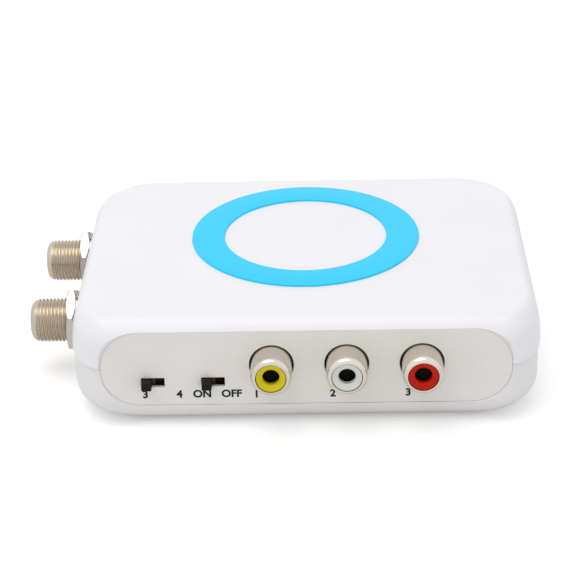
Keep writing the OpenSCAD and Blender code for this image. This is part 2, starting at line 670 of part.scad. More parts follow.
module rca_contact(x) in_frame() color([0.7, 0.66, 0.58]) translate([x, 0, rca_z]) difference() {
  along_y(core_face + contact_in + fit_gap, jack_front_y + sleeve_in + contact_tail - fit_gap, contact_r, contact_r);
  along_y(core_face, jack_front_y + sleeve_in, contact_bore_r, contact_bore_r);
  translate([-slide_gap, core_face, 0]) cube([2 * slide_gap, jack_front_y + sleeve_in - core_face - over, contact_r + over]);
}
module rca_contact_video() rca_contact(rca_spots[0]);
module rca_contact_left() rca_contact(rca_spots[1]);
module rca_contact_right() rca_contact(rca_spots[2]);

// Folded steel frame of a slide switch, open at the back, with the lever's window
frame_l = 4;
frame_t = 0.4;
window_gap = 0.15;
module switch_frame(x) in_frame() color([0.78, 0.78, 0.76]) translate([x, frame_y, switch_z]) difference() {
  translate([-frame_w / 2, 0, -frame_h / 2]) cube([frame_w, frame_l, frame_h]);
  translate([-frame_w / 2 + frame_t, frame_t, -frame_h / 2 + frame_t])
    cube([frame_w - 2 * frame_t, frame_l, frame_h - 2 * frame_t]);
  translate([-slot_w / 2 - window_gap, -over, -slot_h / 2 - window_gap])
    cube([slot_w + 2 * window_gap, frame_t + 2 * over, slot_h + 2 * window_gap]);
}
module channel_frame() switch_frame(switch_spots[0]);
module power_frame() switch_frame(switch_spots[1]);

// Brown board that closes a switch, and the three tin terminals bent down from it
base_t = 1.6;
terminal_w = 0.9;
terminal_t = 0.4;
terminal_l = 1.3;
terminal_pitch = 2.4;
base_front = frame_l - base_t;
module switch_base(x) in_frame() color([0.24, 0.12, 0.05]) translate([x, frame_y + base_front, switch_z]) difference() {
  translate([-frame_w / 2 + frame_t + round_gap, 0, -frame_h / 2 + frame_t + round_gap])
    cube([frame_w - 2 * frame_t - 2 * round_gap, base_t, frame_h - 2 * frame_t - 2 * round_gap]);
  for (i = [-1:1]) translate([i * terminal_pitch - terminal_w / 2 - round_gap, -over, -terminal_t / 2 - round_gap])
    cube([terminal_w + 2 * round_gap, base_t + 2 * over, terminal_t + 2 * round_gap]);
}
module channel_base() switch_base(switch_spots[0]);
module power_base() switch_base(switch_spots[1]);

module switch_terminals(x) in_frame() color([0.8, 0.78, 0.72]) translate([x, frame_y + base_front, switch_z])
  for (i = [-1:1]) translate([i * terminal_pitch - terminal_w / 2, 0, 0]) {
    translate([0, 0, -terminal_t / 2]) cube([terminal_w, base_t + terminal_l, terminal_t]);
    translate([0, base_t + terminal_l - terminal_t, -switch_rise]) cube([terminal_w, terminal_t, switch_rise]);
  }
module channel_terminals() switch_terminals(switch_spots[0]);
module power_terminals() switch_terminals(switch_spots[1]);

// Lever and its carriage, at the left end of the travel
carriage_w = 3.4;
carriage_h = 3.6;
carriage_t = 1.4;
lever_h = slot_h - 2 * slide_gap;
lever_rest = -slot_w / 2 + slide_gap + lever_w / 2;
module switch_slider(x) in_frame() color([0.15, 0.15, 0.15])
  translate([x + lever_rest, frame_y + frame_t + slide_gap, switch_z]) {
    translate([-carriage_w / 2, 0, -carriage_h / 2]) cube([carriage_w, carriage_t, carriage_h]);
    translate([-lever_w / 2, panel_y - lever_reach - frame_y - frame_t - slide_gap, -lever_h / 2])
      cube([lever_w, frame_y + frame_t + slide_gap + lever_reach - panel_y + carriage_t / 2, lever_h]);
  }
module channel_slider() switch_slider(switch_spots[0]);
module power_slider() switch_slider(switch_spots[1]);

// Power socket: collar through the back wall, box on the board, pin and spring inside
dc_w = 9;
dc_above = 4.6;
dc_h = dc_rise + dc_above;
dc_l = 13.5;
dc_bore_l = 10;
dc_front_y = body_d / 2 - wall - fit_gap;
dc_face = 0.3;
dc_bore_gap = 0.2;
dc_bore_r = dc_plug_d / 2 + dc_bore_gap;
dc_slot_w = 2.4;
dc_slot_h = 1.2;
module dc_housing() in_frame() color([0.12, 0.12, 0.12]) translate([dc_x, 0, dc_z]) difference() {
  union() {
    translate([-dc_w / 2, dc_front_y - dc_l, -dc_rise]) cube([dc_w, dc_l, dc_h]);
    along_y(dc_front_y - over, body_d / 2 - dc_face, dc_collar_r, dc_collar_r);
  }
  along_y(body_d / 2 - dc_face - dc_bore_l, body_d / 2 + over, dc_bore_r, dc_bore_r);
  along_y(dc_front_y - dc_l - over, body_d / 2 - dc_bore_l, dc_pin_d / 2 + round_gap, dc_pin_d / 2 + round_gap);
  translate([-dc_slot_w / 2, dc_front_y - dc_l - over, -dc_bore_r - dc_slot_h])
    cube([dc_slot_w, dc_l - 2 * wall, dc_bore_r + dc_slot_h - dc_pin_d]);
}

dc_pin_in = 1;
module dc_pin() in_frame() color([0.82, 0.8, 0.76]) translate([dc_x, 0, dc_z])
  along_y(dc_front_y - dc_l, body_d / 2 - dc_face - dc_pin_in, dc_pin_d / 2, dc_pin_d / 2);

dc_leaf_w = 2;
dc_leaf_t = 0.3;
module dc_spring() in_frame() color([0.82, 0.78, 0.6])
  translate([dc_x - dc_leaf_w / 2, dc_front_y - dc_l, dc_z - dc_bore_r - dc_slot_h])
    cube([dc_leaf_w, dc_l - 2 * wall - over - fit_gap, dc_leaf_t]);

// Parts on the open side of the board, placed by shares of the way from the can to the board's right edge
can_right_x = can_left_x + can_l;
function field(s) = [can_right_x + s[0] * (body_w / 2 - board_inset - can_right_x), s[1] * body_d / 2];
signal_ic_share = [0.258, -0.14];
signal_ic_l = 9.6;
module signal_ic() in_frame() color([0.1, 0.1, 0.1])
  translate([field(signal_ic_share)[0], field(signal_ic_share)[1], board_top])
    chip(signal_ic_l, chip_w, chip_h, chip_seat, 4);

// Regulator standing on three legs with its metal tab behind it
regulator_share = [0.808, 0.02];
reg_w = 10;
reg_d = 4.4;
reg_h = 8.2;
reg_seat = 1.2;
tab_t = 1.3;
tab_h = 3.8;
tab_hole_r = 1.4;
module regulator() in_frame() color([0.2, 0.2, 0.2])
  translate([field(regulator_share)[0], field(regulator_share)[1], board_top]) difference() {
    union() {
      translate([-reg_w / 2, -reg_d / 2, reg_seat]) cube([reg_w, reg_d, reg_h]);
      translate([-reg_w / 2, reg_d / 2 - tab_t, reg_seat]) cube([reg_w, tab_t, reg_h + tab_h]);
      for (i = [-1:1]) translate([i * leg_pitch - leg_w / 2, 0, 0]) cube([leg_w, leg_t, reg_seat + over]);
    }
    translate([0, 0, reg_seat + reg_h + tab_h / 2])
      along_y(-reg_d, reg_d, tab_hole_r, tab_hole_r);
  }

// Electrolytic capacitors with the groove near the foot
module can_capacitor(r, h) rotate_extrude()
  polygon([[0, 0], [r, 0], [r, h * groove_shares[0]], [r - groove, h * groove_shares[1]],
    [r, h * groove_shares[2]], [r, h - groove], [r - groove, h], [0, h]]);
groove_shares = [0.12, 0.16, 0.2];
groove = 0.4;
supply_share = [0.512, 0.36];
supply_r = 4;
supply_h = 11.5;
filter_share = [0.25, 0.42];
filter_r = 3.15;
filter_h = 11;
module supply_capacitor() in_frame() color([0.12, 0.16, 0.35])
  translate([field(supply_share)[0], field(supply_share)[1], board_top]) can_capacitor(supply_r, supply_h);
module filter_capacitor() in_frame() color([0.12, 0.16, 0.35])
  translate([field(filter_share)[0], field(filter_share)[1], board_top]) can_capacitor(filter_r, filter_h);

// Ceramic discs on edge and lying resistors
disc_shares = [[0.168, 0.12], [0.397, 0.1], [0.708, -0.34]];
disc_r = 2.5;
disc_t = 1.4;
module ceramic_capacitors() in_frame() color([0.75, 0.45, 0.2])
  for (s = disc_shares) translate([field(s)[0], field(s)[1], board_top + disc_r])
    along_y(-disc_t / 2, disc_t / 2, disc_r, disc_r);

resistor_shares = [[0.266, 0.2], [0.525, -0.02], [0.525, -0.12], [0.11, 0.72]];
resistor_r = 1.1;
resistor_l = 6;
lead_r = 0.3;
lead_l = 1.2;
module resistors() in_frame() color([0.8, 0.68, 0.5])
  for (s = resistor_shares) translate([field(s)[0], field(s)[1], board_top + resistor_r]) {
    along_x(-resistor_l / 2, resistor_l / 2, resistor_r, resistor_r);
    for (k = [-1, 1]) translate([k * (resistor_l / 2 + lead_l / 2), 0, 0]) {
      along_x(-lead_l / 2 - lead_r, lead_l / 2 + lead_r, lead_r, lead_r);
      translate([k * lead_l / 2, 0, -resistor_r]) cylinder(h = resistor_r, r = lead_r);
    }
  }

top_cover();
bottom_case();
front_panel();
accent_ring();
case_screws();
rubber_feet();
main_board();
board_screws();
rf_can();
rf_can_lid();
tuning_coils();
modulator_ic();
crystal();
rf_barrel_front();
rf_barrel_back();
rf_nut_front();
rf_nut_back();
rf_washer_front();
rf_washer_back();
rf_insulator_front();
rf_insulator_back();
rf_contact_front();
rf_contact_back();
rca_housing_video();
rca_housing_left();
rca_housing_right();
rca_sleeve_video();
rca_sleeve_left();
rca_sleeve_right();
rca_insulator_video();
rca_insulator_left();
rca_insulator_right();
rca_contact_video();
rca_contact_left();
rca_contact_right();
channel_frame();
channel_base();
channel_slider();
channel_terminals();
power_frame();
power_base();
power_slider();
power_terminals();
dc_housing();
dc_pin();
dc_spring();
signal_ic();
regulator();
supply_capacitor();
filter_capacitor();
ceramic_capacitors();
resistors();
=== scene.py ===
# Looks of a small white converter box: fine shells, turned metal, printed marks and finishes.
# Sizes are in millimetres in the case's own frame, whose origin is under the middle of the case.
import json
import math

import bmesh
import bpy
from mathutils import Matrix, Vector


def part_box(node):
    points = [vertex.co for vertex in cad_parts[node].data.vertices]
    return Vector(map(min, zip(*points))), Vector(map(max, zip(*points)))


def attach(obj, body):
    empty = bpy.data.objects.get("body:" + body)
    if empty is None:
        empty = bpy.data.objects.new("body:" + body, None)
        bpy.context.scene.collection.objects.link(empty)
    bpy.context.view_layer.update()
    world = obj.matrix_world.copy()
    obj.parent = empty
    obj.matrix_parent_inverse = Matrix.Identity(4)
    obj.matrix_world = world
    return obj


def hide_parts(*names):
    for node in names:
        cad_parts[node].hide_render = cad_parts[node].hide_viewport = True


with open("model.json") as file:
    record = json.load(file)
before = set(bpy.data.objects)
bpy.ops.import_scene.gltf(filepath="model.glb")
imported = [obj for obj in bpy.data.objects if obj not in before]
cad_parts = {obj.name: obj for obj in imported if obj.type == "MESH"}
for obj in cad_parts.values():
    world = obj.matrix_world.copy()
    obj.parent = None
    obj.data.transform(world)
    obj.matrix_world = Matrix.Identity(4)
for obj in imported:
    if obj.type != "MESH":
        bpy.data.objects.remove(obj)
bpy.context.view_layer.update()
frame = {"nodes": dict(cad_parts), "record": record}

MM = 0.001
scene = bpy.context.scene

# The case as the solids have it, and its middle in the frame
BODY_W = 98.5
BODY_D = 73.7
BODY_H = 25.0
SEAM_Z = 14.2
SEAM_GAP = 0.3
SIDE_STEP = 0.35
FRONT_STEP = 0.7
FOOT_LIFT = 0.7
WALL = 1.8
TOP_T = 2.0
FLOOR_Z = 2.5
CORNER_FRONT_R = 9.0
CORNER_FRONT_L = 13.2
CORNER_BACK_R = 15.0
SIDE_ROLL = (3.55, 10.56)
FRONT_ROLL = (6.0, 5.6)
UNDER_ROLL = (7.0, 7.0)
UNDER_SOFT = 1.94
TONGUE_IN = 1.95
TONGUE_T = 0.9
TONGUE_TOP = 15.8
TONGUE_FOOT = 11.8
FRONT_Y = -BODY_D / 2
case_low, case_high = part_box("top_cover")
MIDDLE = Vector(((case_low[0] + case_high[0]) / 2, case_high[1] - BODY_D / 2 * MM, 0))


def local(node):
    """Lowest corner, highest corner and middle of a CAD node in millimetres, in the case's frame."""
    low, high = (list((Vector(c) - MIDDLE) / MM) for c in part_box(node))
    return low, high, [(a + b) / 2 for a, b in zip(low, high)]


# Meshes

# Angle in degrees from which an edge stays sharp, and distance in metres at which points are one
SHARP = 32.0
MERGE = 1e-7


def new_object(name, points, faces, slot, body="unit", sharp=SHARP):
    """A piece from points in millimetres, smooth but for edges sharper than the angle."""
    mesh = bpy.data.meshes.new(name)
    mesh.from_pydata([MIDDLE + Vector(p) * MM for p in points], [], faces)
    work = bmesh.new()
    work.from_mesh(mesh)
    bmesh.ops.remove_doubles(work, verts=work.verts, dist=MERGE)
    bmesh.ops.recalc_face_normals(work, faces=work.faces)
    work.to_mesh(mesh)
    work.free()
    obj = bpy.data.objects.new(name, mesh)
    scene.collection.objects.link(obj)
    return dress(obj, slot, body, sharp)


def dress(obj, slot, body="unit", sharp=SHARP):
    """Gives a piece its finish, its body and its smooth shading."""
    obj.data.materials.clear()
    obj.data.materials.append(finish(slot))
    obj.data.shade_smooth()
    obj.data.set_sharp_from_angle(angle=math.radians(sharp))
    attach(obj, body)
    return obj


def join(name, parts):
    """One piece from several of the same finish."""
    bpy.ops.object.select_all(action="DESELECT")
    for part in parts:
        part.select_set(True)
    bpy.context.view_layer.objects.active = parts[0]
    bpy.ops.object.join()
    parts[0].name = name
    return parts[0]


def cut(obj, cutters, operation="DIFFERENCE"):
    """Takes the cutters out of a piece, or adds them to it, and removes them."""
    for cutter in cutters:
        hole = obj.modifiers.new("hole", "BOOLEAN")
        hole.operation = operation
        hole.object = cutter
        hole.solver = "EXACT"
    bpy.context.view_layer.update()
    whole = obj.evaluated_get(bpy.context.evaluated_depsgraph_get())
    mesh = bpy.data.meshes.new_from_object(whole)
    obj.modifiers.clear()
    obj.data = mesh
    for cutter in cutters:
        bpy.data.objects.remove(cutter)


def refine(obj, slot, body="unit", sharp=SHARP):
    """Finish, shading and evened normals after a cut."""
    dress(obj, slot, body, sharp)
    even = obj.modifiers.new("even", "WEIGHTED_NORMAL")
    even.keep_sharp = True
    return obj


def loft(name, rings, slot, body="unit", closed=False, sharp=SHARP):
    """A skin through rings of equal length, capped at both ends or closed on itself."""
    count = len(rings[0])
    points = [p for ring in rings for p in ring]
    faces = []
    last = len(rings) if closed else len(rings) - 1
    for j in range(last):
        a, b = j * count, (j + 1) % len(rings) * count
        for i in range(count):
            k = (i + 1) % count
            faces.append((a + i, b + i, b + k, a + k))
    if not closed:
        faces.append(tuple(range(count)))
        faces.append(tuple(range((len(rings) - 1) * count, len(rings) * count)))
    return new_object(name, points, faces, slot, body, sharp)


# Most of a stretch between two corners that one rounding takes up
ROUND_SHARE = 0.45


def rounded(profile, radius, steps=4):
    """An open outline with its inner corners rounded to the radius, or less where a stretch is short."""
    out = [profile[0]]
    for before, corner, after in zip(profile, profile[1:], profile[2:]):
        c = Vector(corner)
        to_a, to_b = Vector(before) - c, Vector(after) - c
        reach = min(radius, to_a.length * ROUND_SHARE, to_b.length * ROUND_SHARE)
        start, end = c + to_a.normalized() * reach, c + to_b.normalized() * reach
        for i in range(steps + 1):
            t = i / steps
            out.append(tuple(start * (1 - t) ** 2 + c * 2 * t * (1 - t) + end * t * t))
    out.append(profile[-1])
    return out


# Radius that stands for zero, and the directions across and along each axis
LEAST_R = 1e-4
AXES = {"x": ((0, 1, 0), (0, 0, 1), (1, 0, 0)), "y": ((0, 0, 1), (1, 0, 0), (0, 1, 0)),
        "z": ((1, 0, 0), (0, 1, 0), (0, 0, 1))}


def lathe(name, profile, centre, axis, slot, body="unit", steps=96, closed=False, sharp=SHARP):
    """A turned piece. The profile holds (radius, distance along the axis from the centre)."""
    u, v, w = (Vector(a) for a in AXES[axis])
    rings = []
    for r, t in profile:
        rings.append([tuple(Vector(centre) + w * t + (u * math.cos(a) + v * math.sin(a)) * max(r, LEAST_R))
                      for a in turn(steps)])
    return loft(name, rings, slot, body, closed, sharp)


BOX_SEGMENTS = 3
BOX_SHARP = 60


def soft_box(name, low, high, radius, slot, body="unit"):
    """A block with rounded edges."""
    work = bmesh.new()
    bmesh.ops.create_cube(work, size=1)
    middle = (Vector(low) + Vector(high)) / 2
    for vert in work.verts:
        vert.co = middle + Vector(a * (h - l) for a, l, h in zip(vert.co, low, high))
    bmesh.ops.bevel(work, geom=work.edges[:], offset=radius, segments=BOX_SEGMENTS, profile=0.5,
                    affect="EDGES")
    points = [tuple(vert.co) for vert in work.verts]
    faces = [tuple(vert.index for vert in face.verts) for face in work.faces]
    work.free()
    return new_object(name, points, faces, slot, body, BOX_SHARP)


def quarter(steps):
    """Angles of a quarter turn in equal steps, with both ends."""
    return [math.radians(90 * i / steps) for i in range(steps + 1)]


def turn(steps):
    """Angles of a whole turn in equal steps."""
    return [2 * math.pi * i / steps for i in range(steps)]


def arc(cx, cy, rx, ry, start, steps):
    """A quarter of an ellipse from a start angle in degrees."""
    return [(cx + rx * math.cos(a), cy + ry * math.sin(a))
            for a in (math.radians(start + 90 * i / steps) for i in range(steps + 1))]


def run(a, b, steps):
    """Points between two ends, without the ends."""
    return [(a[0] + (b[0] - a[0]) * i / steps, a[1] + (b[1] - a[1]) * i / steps) for i in range(1, steps)]


CORNER_STEPS = 24
LEAST_CORNER = 0.1
LONG_RUN = 16
SHORT_RUN = 10


def outline(side, front, soft):
    """Plan outline of the case, drawn in at the sides and back by side and at the front by front,
    with the curve of its front corners larger by soft."""
    hx = BODY_W / 2 - side
    yf = FRONT_Y + front
    yb = BODY_D / 2 - side
    less = max(side, front) - soft
    rx = max(LEAST_CORNER, CORNER_FRONT_R - less)
    ry = max(LEAST_CORNER, CORNER_FRONT_L - less)
    rb = max(LEAST_CORNER, CORNER_BACK_R - side)
    corners = [arc(hx - rx, yf + ry, rx, ry, -90, CORNER_STEPS),
               arc(hx - rb, yb - rb, rb, rb, 0, CORNER_STEPS),
               arc(rb - hx, yb - rb, rb, rb, 90, CORNER_STEPS),
               arc(rx - hx, yf + ry, rx, ry, 180, CORNER_STEPS)]
    points = []
    for i, corner in enumerate(corners):
        points += corner + run(corner[-1], corners[(i + 1) % 4][0], LONG_RUN if i % 2 else SHORT_RUN)
    return points


def ring(z, side, front, soft=0.0):
    return [(x, y, z) for x, y in outline(side, front, soft)]


def low_ring(z, wall_in, roll_in):
    """Ring of the bottom case, drawn in by its wall and by its roll."""
    return ring(z, wall_in + roll_in + SIDE_STEP, wall_in + roll_in + FRONT_STEP, UNDER_SOFT * roll_in)


def roll(size, rise):
    """Inset of an elliptical roll of that width and height at a rise above its start."""
    width, height = size
    return 0 if rise <= 0 else width * (1 - math.sqrt(max(0, 1 - (rise / height) ** 2)))


def arc_heights(start, height, first, last, steps):
    """Heights on an arc of that height, from the first to the last angle in degrees."""
    angles = [math.radians(first + (last - first) * i / steps) for i in range(steps + 1)]
    return [start + height * math.sin(a) for a in angles]


PANEL_LOW = 5.35
PANEL_TOP = 22.5
PANEL_W = 85.0
PANEL_R = 8.0
PANEL_Y = FRONT_Y + 1.0
PANEL_T = 1.6
PANEL_STEPS = 16


def panel_ring(y, grow, drop=0.0, extra=0.0):
    """Outline of the panel at a depth, larger by grow, lowered by drop and longer by extra at each end."""
    r = PANEL_R + grow
    hx = PANEL_W / 2 + grow + extra
    low, top = PANEL_LOW - grow - drop, PANEL_TOP + grow - drop
    corners = [arc(hx - r, low + r, r, r, -90, PANEL_STEPS), arc(hx - r, top - r, r, r, 0, PANEL_STEPS),
               arc(r - hx, top - r, r, r, 90, PANEL_STEPS), arc(r - hx, low + r, r, r, 180, PANEL_STEPS)]
    return [(x, y, z) for corner in corners for x, z in corner]


# Finishes

SRGB = {
    "white_case": (240, 238, 242),
    # The bottom shell's white is the cover's plastic made a little darker: painted shade of the lower case
    "white_low_painted_shade": (234, 232, 232),
    "grey_panel": (232, 230, 226),
    "blue_ring": (12, 208, 255),
    "screw_steel": (190, 190, 188),
    "foot_rubber": (52, 52, 54),
    "board_green": (44, 110, 66),
    "tinned_steel": (200, 200, 194),
    "nickel": (226, 219, 206),
    "nickel_barrel": (208, 196, 179),
    "nickel_nut": (202, 198, 191),
    "black_plastic": (38, 38, 38),
    "lever_black": (22, 22, 22),
    "yellow_core": (214, 196, 12),
    # The white cores are made darker than their plastic, as painted shade
    "white_core": (216, 219, 216),
    "red_core": (190, 26, 6),
    "brown_board": (92, 56, 32),
    "contact_brass": (190, 160, 96),
    # The jack contacts are coloured near black: painted shade deep in the jacks' holes
    "contact_painted_shade": (22, 19, 15),
    "capacitor_sleeve": (38, 52, 110),
    "ceramic": (196, 128, 62),
    "resistor_body": (206, 186, 148),
    "print_black": (36, 36, 38),
}
# Roughness, metal, grain size in millimetres, grain depth in millimetres, and shift of shade
SURFACE = {
    "white_case": (0.34, 0, 0.35, 0.003, 0.012),
    "white_low_painted_shade": (0.34, 0, 0.35, 0.003, 0.012),
    "grey_panel": (0.48, 0, 0.22, 0.004, 0.02),
    "blue_ring": (0.22, 0, 1.2, 0.002, 0.015),
    "screw_steel": (0.32, 1, 0.4, 0.006, 0.06),
    "foot_rubber": (0.75, 0, 0.25, 0.02, 0.1),
    "board_green": (0.38, 0, 0.6, 0.01, 0.12),
    "tinned_steel": (0.36, 1, 1.5, 0.004, 0.08),
    "nickel": (0.2, 1, 0.5, 0.003, 0.05),
    "nickel_barrel": (0.24, 1, 0.5, 0.003, 0.07),
    "nickel_nut": (0.32, 1, 0.5, 0.002, 0.03),
    "black_plastic": (0.5, 0, 0.2, 0.006, 0.1),
    "lever_black": (0.5, 0, 0.15, 0.006, 0.12),
    "yellow_core": (0.34, 0, 0.6, 0.003, 0.03),
    "white_core": (0.34, 0, 0.6, 0.003, 0.015),
    "red_core": (0.34, 0, 0.6, 0.003, 0.04),
    "brown_board": (0.55, 0, 0.3, 0.01, 0.3),
    "contact_brass": (0.28, 1, 0.5, 0.003, 0.06),
    "contact_painted_shade": (0.5, 1, 0.5, 0.003, 0.1),
    "capacitor_sleeve": (0.26, 0, 0.8, 0.003, 0.05),
    "ceramic": (0.5, 0, 0.3, 0.01, 0.12),
    "resistor_body": (0.45, 0, 0.5, 0.006, 0.06),
    "print_black": (0.6, 0, 0.1, 0.001, 0.06),
}
# Moulded colours with less gloss than the usual plastic
SOFT_GLOSS = {"blue_ring": 0.3, "yellow_core": 0.3, "red_core": 0.15, "lever_black": 0.15, "print_black": 0.2}
# Metals turned on a lathe carry fine scratches: how many to a millimetre, and their stretch along each axis
TURNED = {"nickel": (9.0, (0.04, 1.0, 0.04)), "nickel_barrel": (9.0, (1.0, 0.04, 0.04)),
          "contact_brass": (7.0, (1.0, 0.04, 0.04)), "screw_steel": (8.0, (0.3, 0.3, 1.0))}
# Laminates and boards have a woven or layered grain
LAYERED = {"brown_board": 5.0, "board_green": 3.0}
# Patches of shade, many grains wide, and the range they give the roughness
PATCH_GRAINS = 28
PATCH_DETAIL = 4.0
GRAIN_DETAIL = 3.0
ROUGH_RANGE = (0.88, 1.12)
NOISE_MIDDLE = (0.3, 0.7)
# Scratches: depth in millimetres. Tarnish: patches to a millimetre, the most of it and its shade
SCRATCH_DETAIL = 2.0
SCRATCH_DEPTH = 0.0015
TARNISH_FINE = 0.22
TARNISH_DETAIL = 5.0
TARNISH_MOST = 0.35
TARNISH_SHADE = 0.78
# Layers: their stretch along each axis, the most of them, their shade and their depth in millimetres
LAYER_STRETCH = (0.12, 0.12, 1.0)
LAYER_DETAIL = 2.0
LAYER_MOST = 0.6
LAYER_SHADE = 0.55
LAYER_DEPTH = 0.01


def linear(values):
    """Scene-linear colour of an sRGB colour given in 0 to 255 steps."""
    parts = [v / 255 for v in values]
    return tuple(p / 12.92 if p <= 0.04045 else ((p + 0.055) / 1.055) ** 2.4 for p in parts) + (1.0,)


def shade(colour, factor):
    """A colour made darker or lighter, up to full."""
    return tuple(min(1.0, c * factor) for c in colour[:3]) + (1.0,)


class Tree:
    """A small builder for shader nodes."""

    def __init__(self, tree):
        self.tree = tree
        tree.nodes.clear()

    def add(self, kind, **values):
        node = self.tree.nodes.new(kind)
        for key, value in values.items():
            setattr(node, key, value)
        return node

    def link(self, source, target):
        self.tree.links.new(source, target)

    def noise(self, place, scale, detail):
        node = self.add("ShaderNodeTexNoise")
        node.inputs["Scale"].default_value = scale
        node.inputs["Detail"].default_value = detail
        self.link(place, node.inputs["Vector"])
        return node.outputs["Fac"]

    def spread(self, value, low, high):
        """Maps the middle of a noise value to a range."""
        node = self.add("ShaderNodeMapRange")
        node.inputs["From Min"].default_value, node.inputs["From Max"].default_value = NOISE_MIDDLE
        node.inputs["To Min"].default_value = low
        node.inputs["To Max"].default_value = high
        self.link(value, node.inputs["Value"])
        return node.outputs["Result"]

    def blend(self, factor, first, second):
        """A colour between two given ones or links."""
        node = self.add("ShaderNodeMix", data_type="RGBA")
        self.link(factor, node.inputs[0])
        for socket, value in ((node.inputs[6], first), (node.inputs[7], second)):
            if isinstance(value, tuple):
                socket.default_value = value
            else:
                self.link(value, socket)
        return node.outputs[2]

    def stretch(self, place, factors):
        node = self.add("ShaderNodeMapping")
        node.inputs["Scale"].default_value = factors
        self.link(place, node.inputs["Vector"])
        return node.outputs["Vector"]

    def bump(self, height, depth, before=None):
        node = self.add("ShaderNodeBump")
        node.inputs["Strength"].default_value = 1.0
        node.inputs["Distance"].default_value = depth * MM
        self.link(height, node.inputs["Height"])
        if before is not None:
            self.link(before, node.inputs["Normal"])
        return node.outputs["Normal"]


MADE = {}


def finish(slot):
    """Procedural finish of a slot, made once."""
    if slot in MADE:
        return MADE[slot]
    material = bpy.data.materials.new("finish_" + slot)
    MADE[slot] = material
    material.use_nodes = True
    t = Tree(material.node_tree)
    roughness, metal, grain, depth, shift = SURFACE[slot]
    out = t.add("ShaderNodeOutputMaterial")
    shader = t.add("ShaderNodeBsdfPrincipled")
    t.link(shader.outputs["BSDF"], out.inputs["Surface"])
    shader.inputs["Metallic"].default_value = metal
    place = t.add("ShaderNodeTexCoord").outputs["Object"]
    base = linear(SRGB[slot])
    patches = t.noise(place, 1 / (PATCH_GRAINS * grain * MM), PATCH_DETAIL)
    grains = t.noise(place, 1 / (grain * MM), GRAIN_DETAIL)
    colour = t.blend(t.spread(patches, 0.0, 1.0), shade(base, 1 - shift), shade(base, 1 + shift))
    rough = t.spread(patches, roughness * ROUGH_RANGE[0], roughness * ROUGH_RANGE[1])
    normal = t.bump(grains, depth)
    if slot in TURNED:
        lines, factors = TURNED[slot]
        scratches = t.noise(t.stretch(place, factors), lines / MM, SCRATCH_DETAIL)
        normal = t.bump(scratches, SCRATCH_DEPTH, normal)
        tarnish = t.noise(place, TARNISH_FINE / MM, TARNISH_DETAIL)
        colour = t.blend(t.spread(tarnish, 0.0, TARNISH_MOST), colour, shade(base, TARNISH_SHADE))
    if slot in LAYERED:
        layers = t.noise(t.stretch(place, LAYER_STRETCH), LAYERED[slot] / MM, LAYER_DETAIL)
        colour = t.blend(t.spread(layers, 0.0, LAYER_MOST), colour, shade(base, LAYER_SHADE))
        normal = t.bump(layers, LAYER_DEPTH, normal)
    t.link(colour, shader.inputs["Base Color"])
    t.link(rough, shader.inputs["Roughness"])
    t.link(normal, shader.inputs["Normal"])
    if slot in SOFT_GLOSS:
        shader.inputs["Specular IOR Level"].default_value = SOFT_GLOSS[slot]
    return material


# The frame's own solids take the finish of their slot
for node, obj in frame["nodes"].items():
    slot = next(p["material_slot"] for p in frame["record"]["subparts"] if p["node"] == node)
    for index in range(max(1, len(obj.material_slots))):
        if not obj.material_slots:
            obj.data.materials.append(finish(slot))
        obj.material_slots[index].material = finish(slot)


# Shells of the case

LIP_R = 0.16
LIP_STEPS = 6
ROLL_STEPS = 28
UPRIGHT_STEPS = 10
UNDER_STEPS = 20
HOLLOW_STEPS = 12
FOOT_EASE = 0.01


def cover_rings():
    """Outer skin from the lid down to the seam's rounded lip, then the hollow up to the ceiling."""
    rings = []
    for a in quarter(LIP_STEPS)[:-1]:
        inset = LIP_R * (1 - math.sin(a))
        rings.append(ring(SEAM_Z + LIP_R * (1 - math.cos(a)), inset, inset))
    side_z = BODY_H - SIDE_ROLL[1]
    roll_z = BODY_H - FRONT_ROLL[1]
    heights = [SEAM_Z + LIP_R]
    heights += [side_z + (roll_z - side_z) * i / UPRIGHT_STEPS for i in range(1, UPRIGHT_STEPS)]
    heights += arc_heights(roll_z, FRONT_ROLL[1], 0, 90, ROLL_STEPS)
    for z in heights:
        rings.append(ring(z, roll(SIDE_ROLL, z - side_z), roll(FRONT_ROLL, z - roll_z)))
    rings.reverse()
    inner_h = SIDE_ROLL[1] - TOP_T
    inner = (SIDE_ROLL[0] * inner_h / SIDE_ROLL[1], inner_h)
    for z in arc_heights(SEAM_Z, BODY_H - TOP_T - SEAM_Z, 0, 90, HOLLOW_STEPS):
        rings.append(ring(z, WALL + roll(inner, z - side_z), WALL))
    return rings


def bottom_rings():
    """Underside and outer skin up to the seam, over the tongue, then the hollow down to the floor."""
    rings = []
    low = math.degrees(math.asin((UNDER_ROLL[1] - FOOT_LIFT) / UNDER_ROLL[1]))
    for z in arc_heights(UNDER_ROLL[1], UNDER_ROLL[1], -low, 0, UNDER_STEPS):
        rings.append(low_ring(z, 0, roll(UNDER_ROLL, UNDER_ROLL[1] - z)))
    top = SEAM_Z - SEAM_GAP
    for a in quarter(LIP_STEPS):
        inset = LIP_R * (1 - math.cos(a))
        rings.append(ring(top - LIP_R * (1 - math.sin(a)), inset + SIDE_STEP, inset + FRONT_STEP))
    tongue_out = TONGUE_IN + TONGUE_T
    rings.append(ring(top, TONGUE_IN, TONGUE_IN))
    rings.append(ring(TONGUE_TOP, TONGUE_IN, TONGUE_IN))
    rings.append(ring(TONGUE_TOP, tongue_out, tongue_out))
    rings.append(ring(TONGUE_FOOT, tongue_out, tongue_out))
    rings.append(ring(TONGUE_FOOT - FOOT_EASE, WALL + SIDE_STEP, WALL + FRONT_STEP))
    inner_h = UNDER_ROLL[1] - FLOOR_Z
    inner = (UNDER_ROLL[0] * inner_h / UNDER_ROLL[1], inner_h)
    for z in reversed(arc_heights(UNDER_ROLL[1], inner_h, -90, 0, HOLLOW_STEPS)):
        rings.append(low_ring(z, WALL, roll(inner, UNDER_ROLL[1] - z)))
    return rings


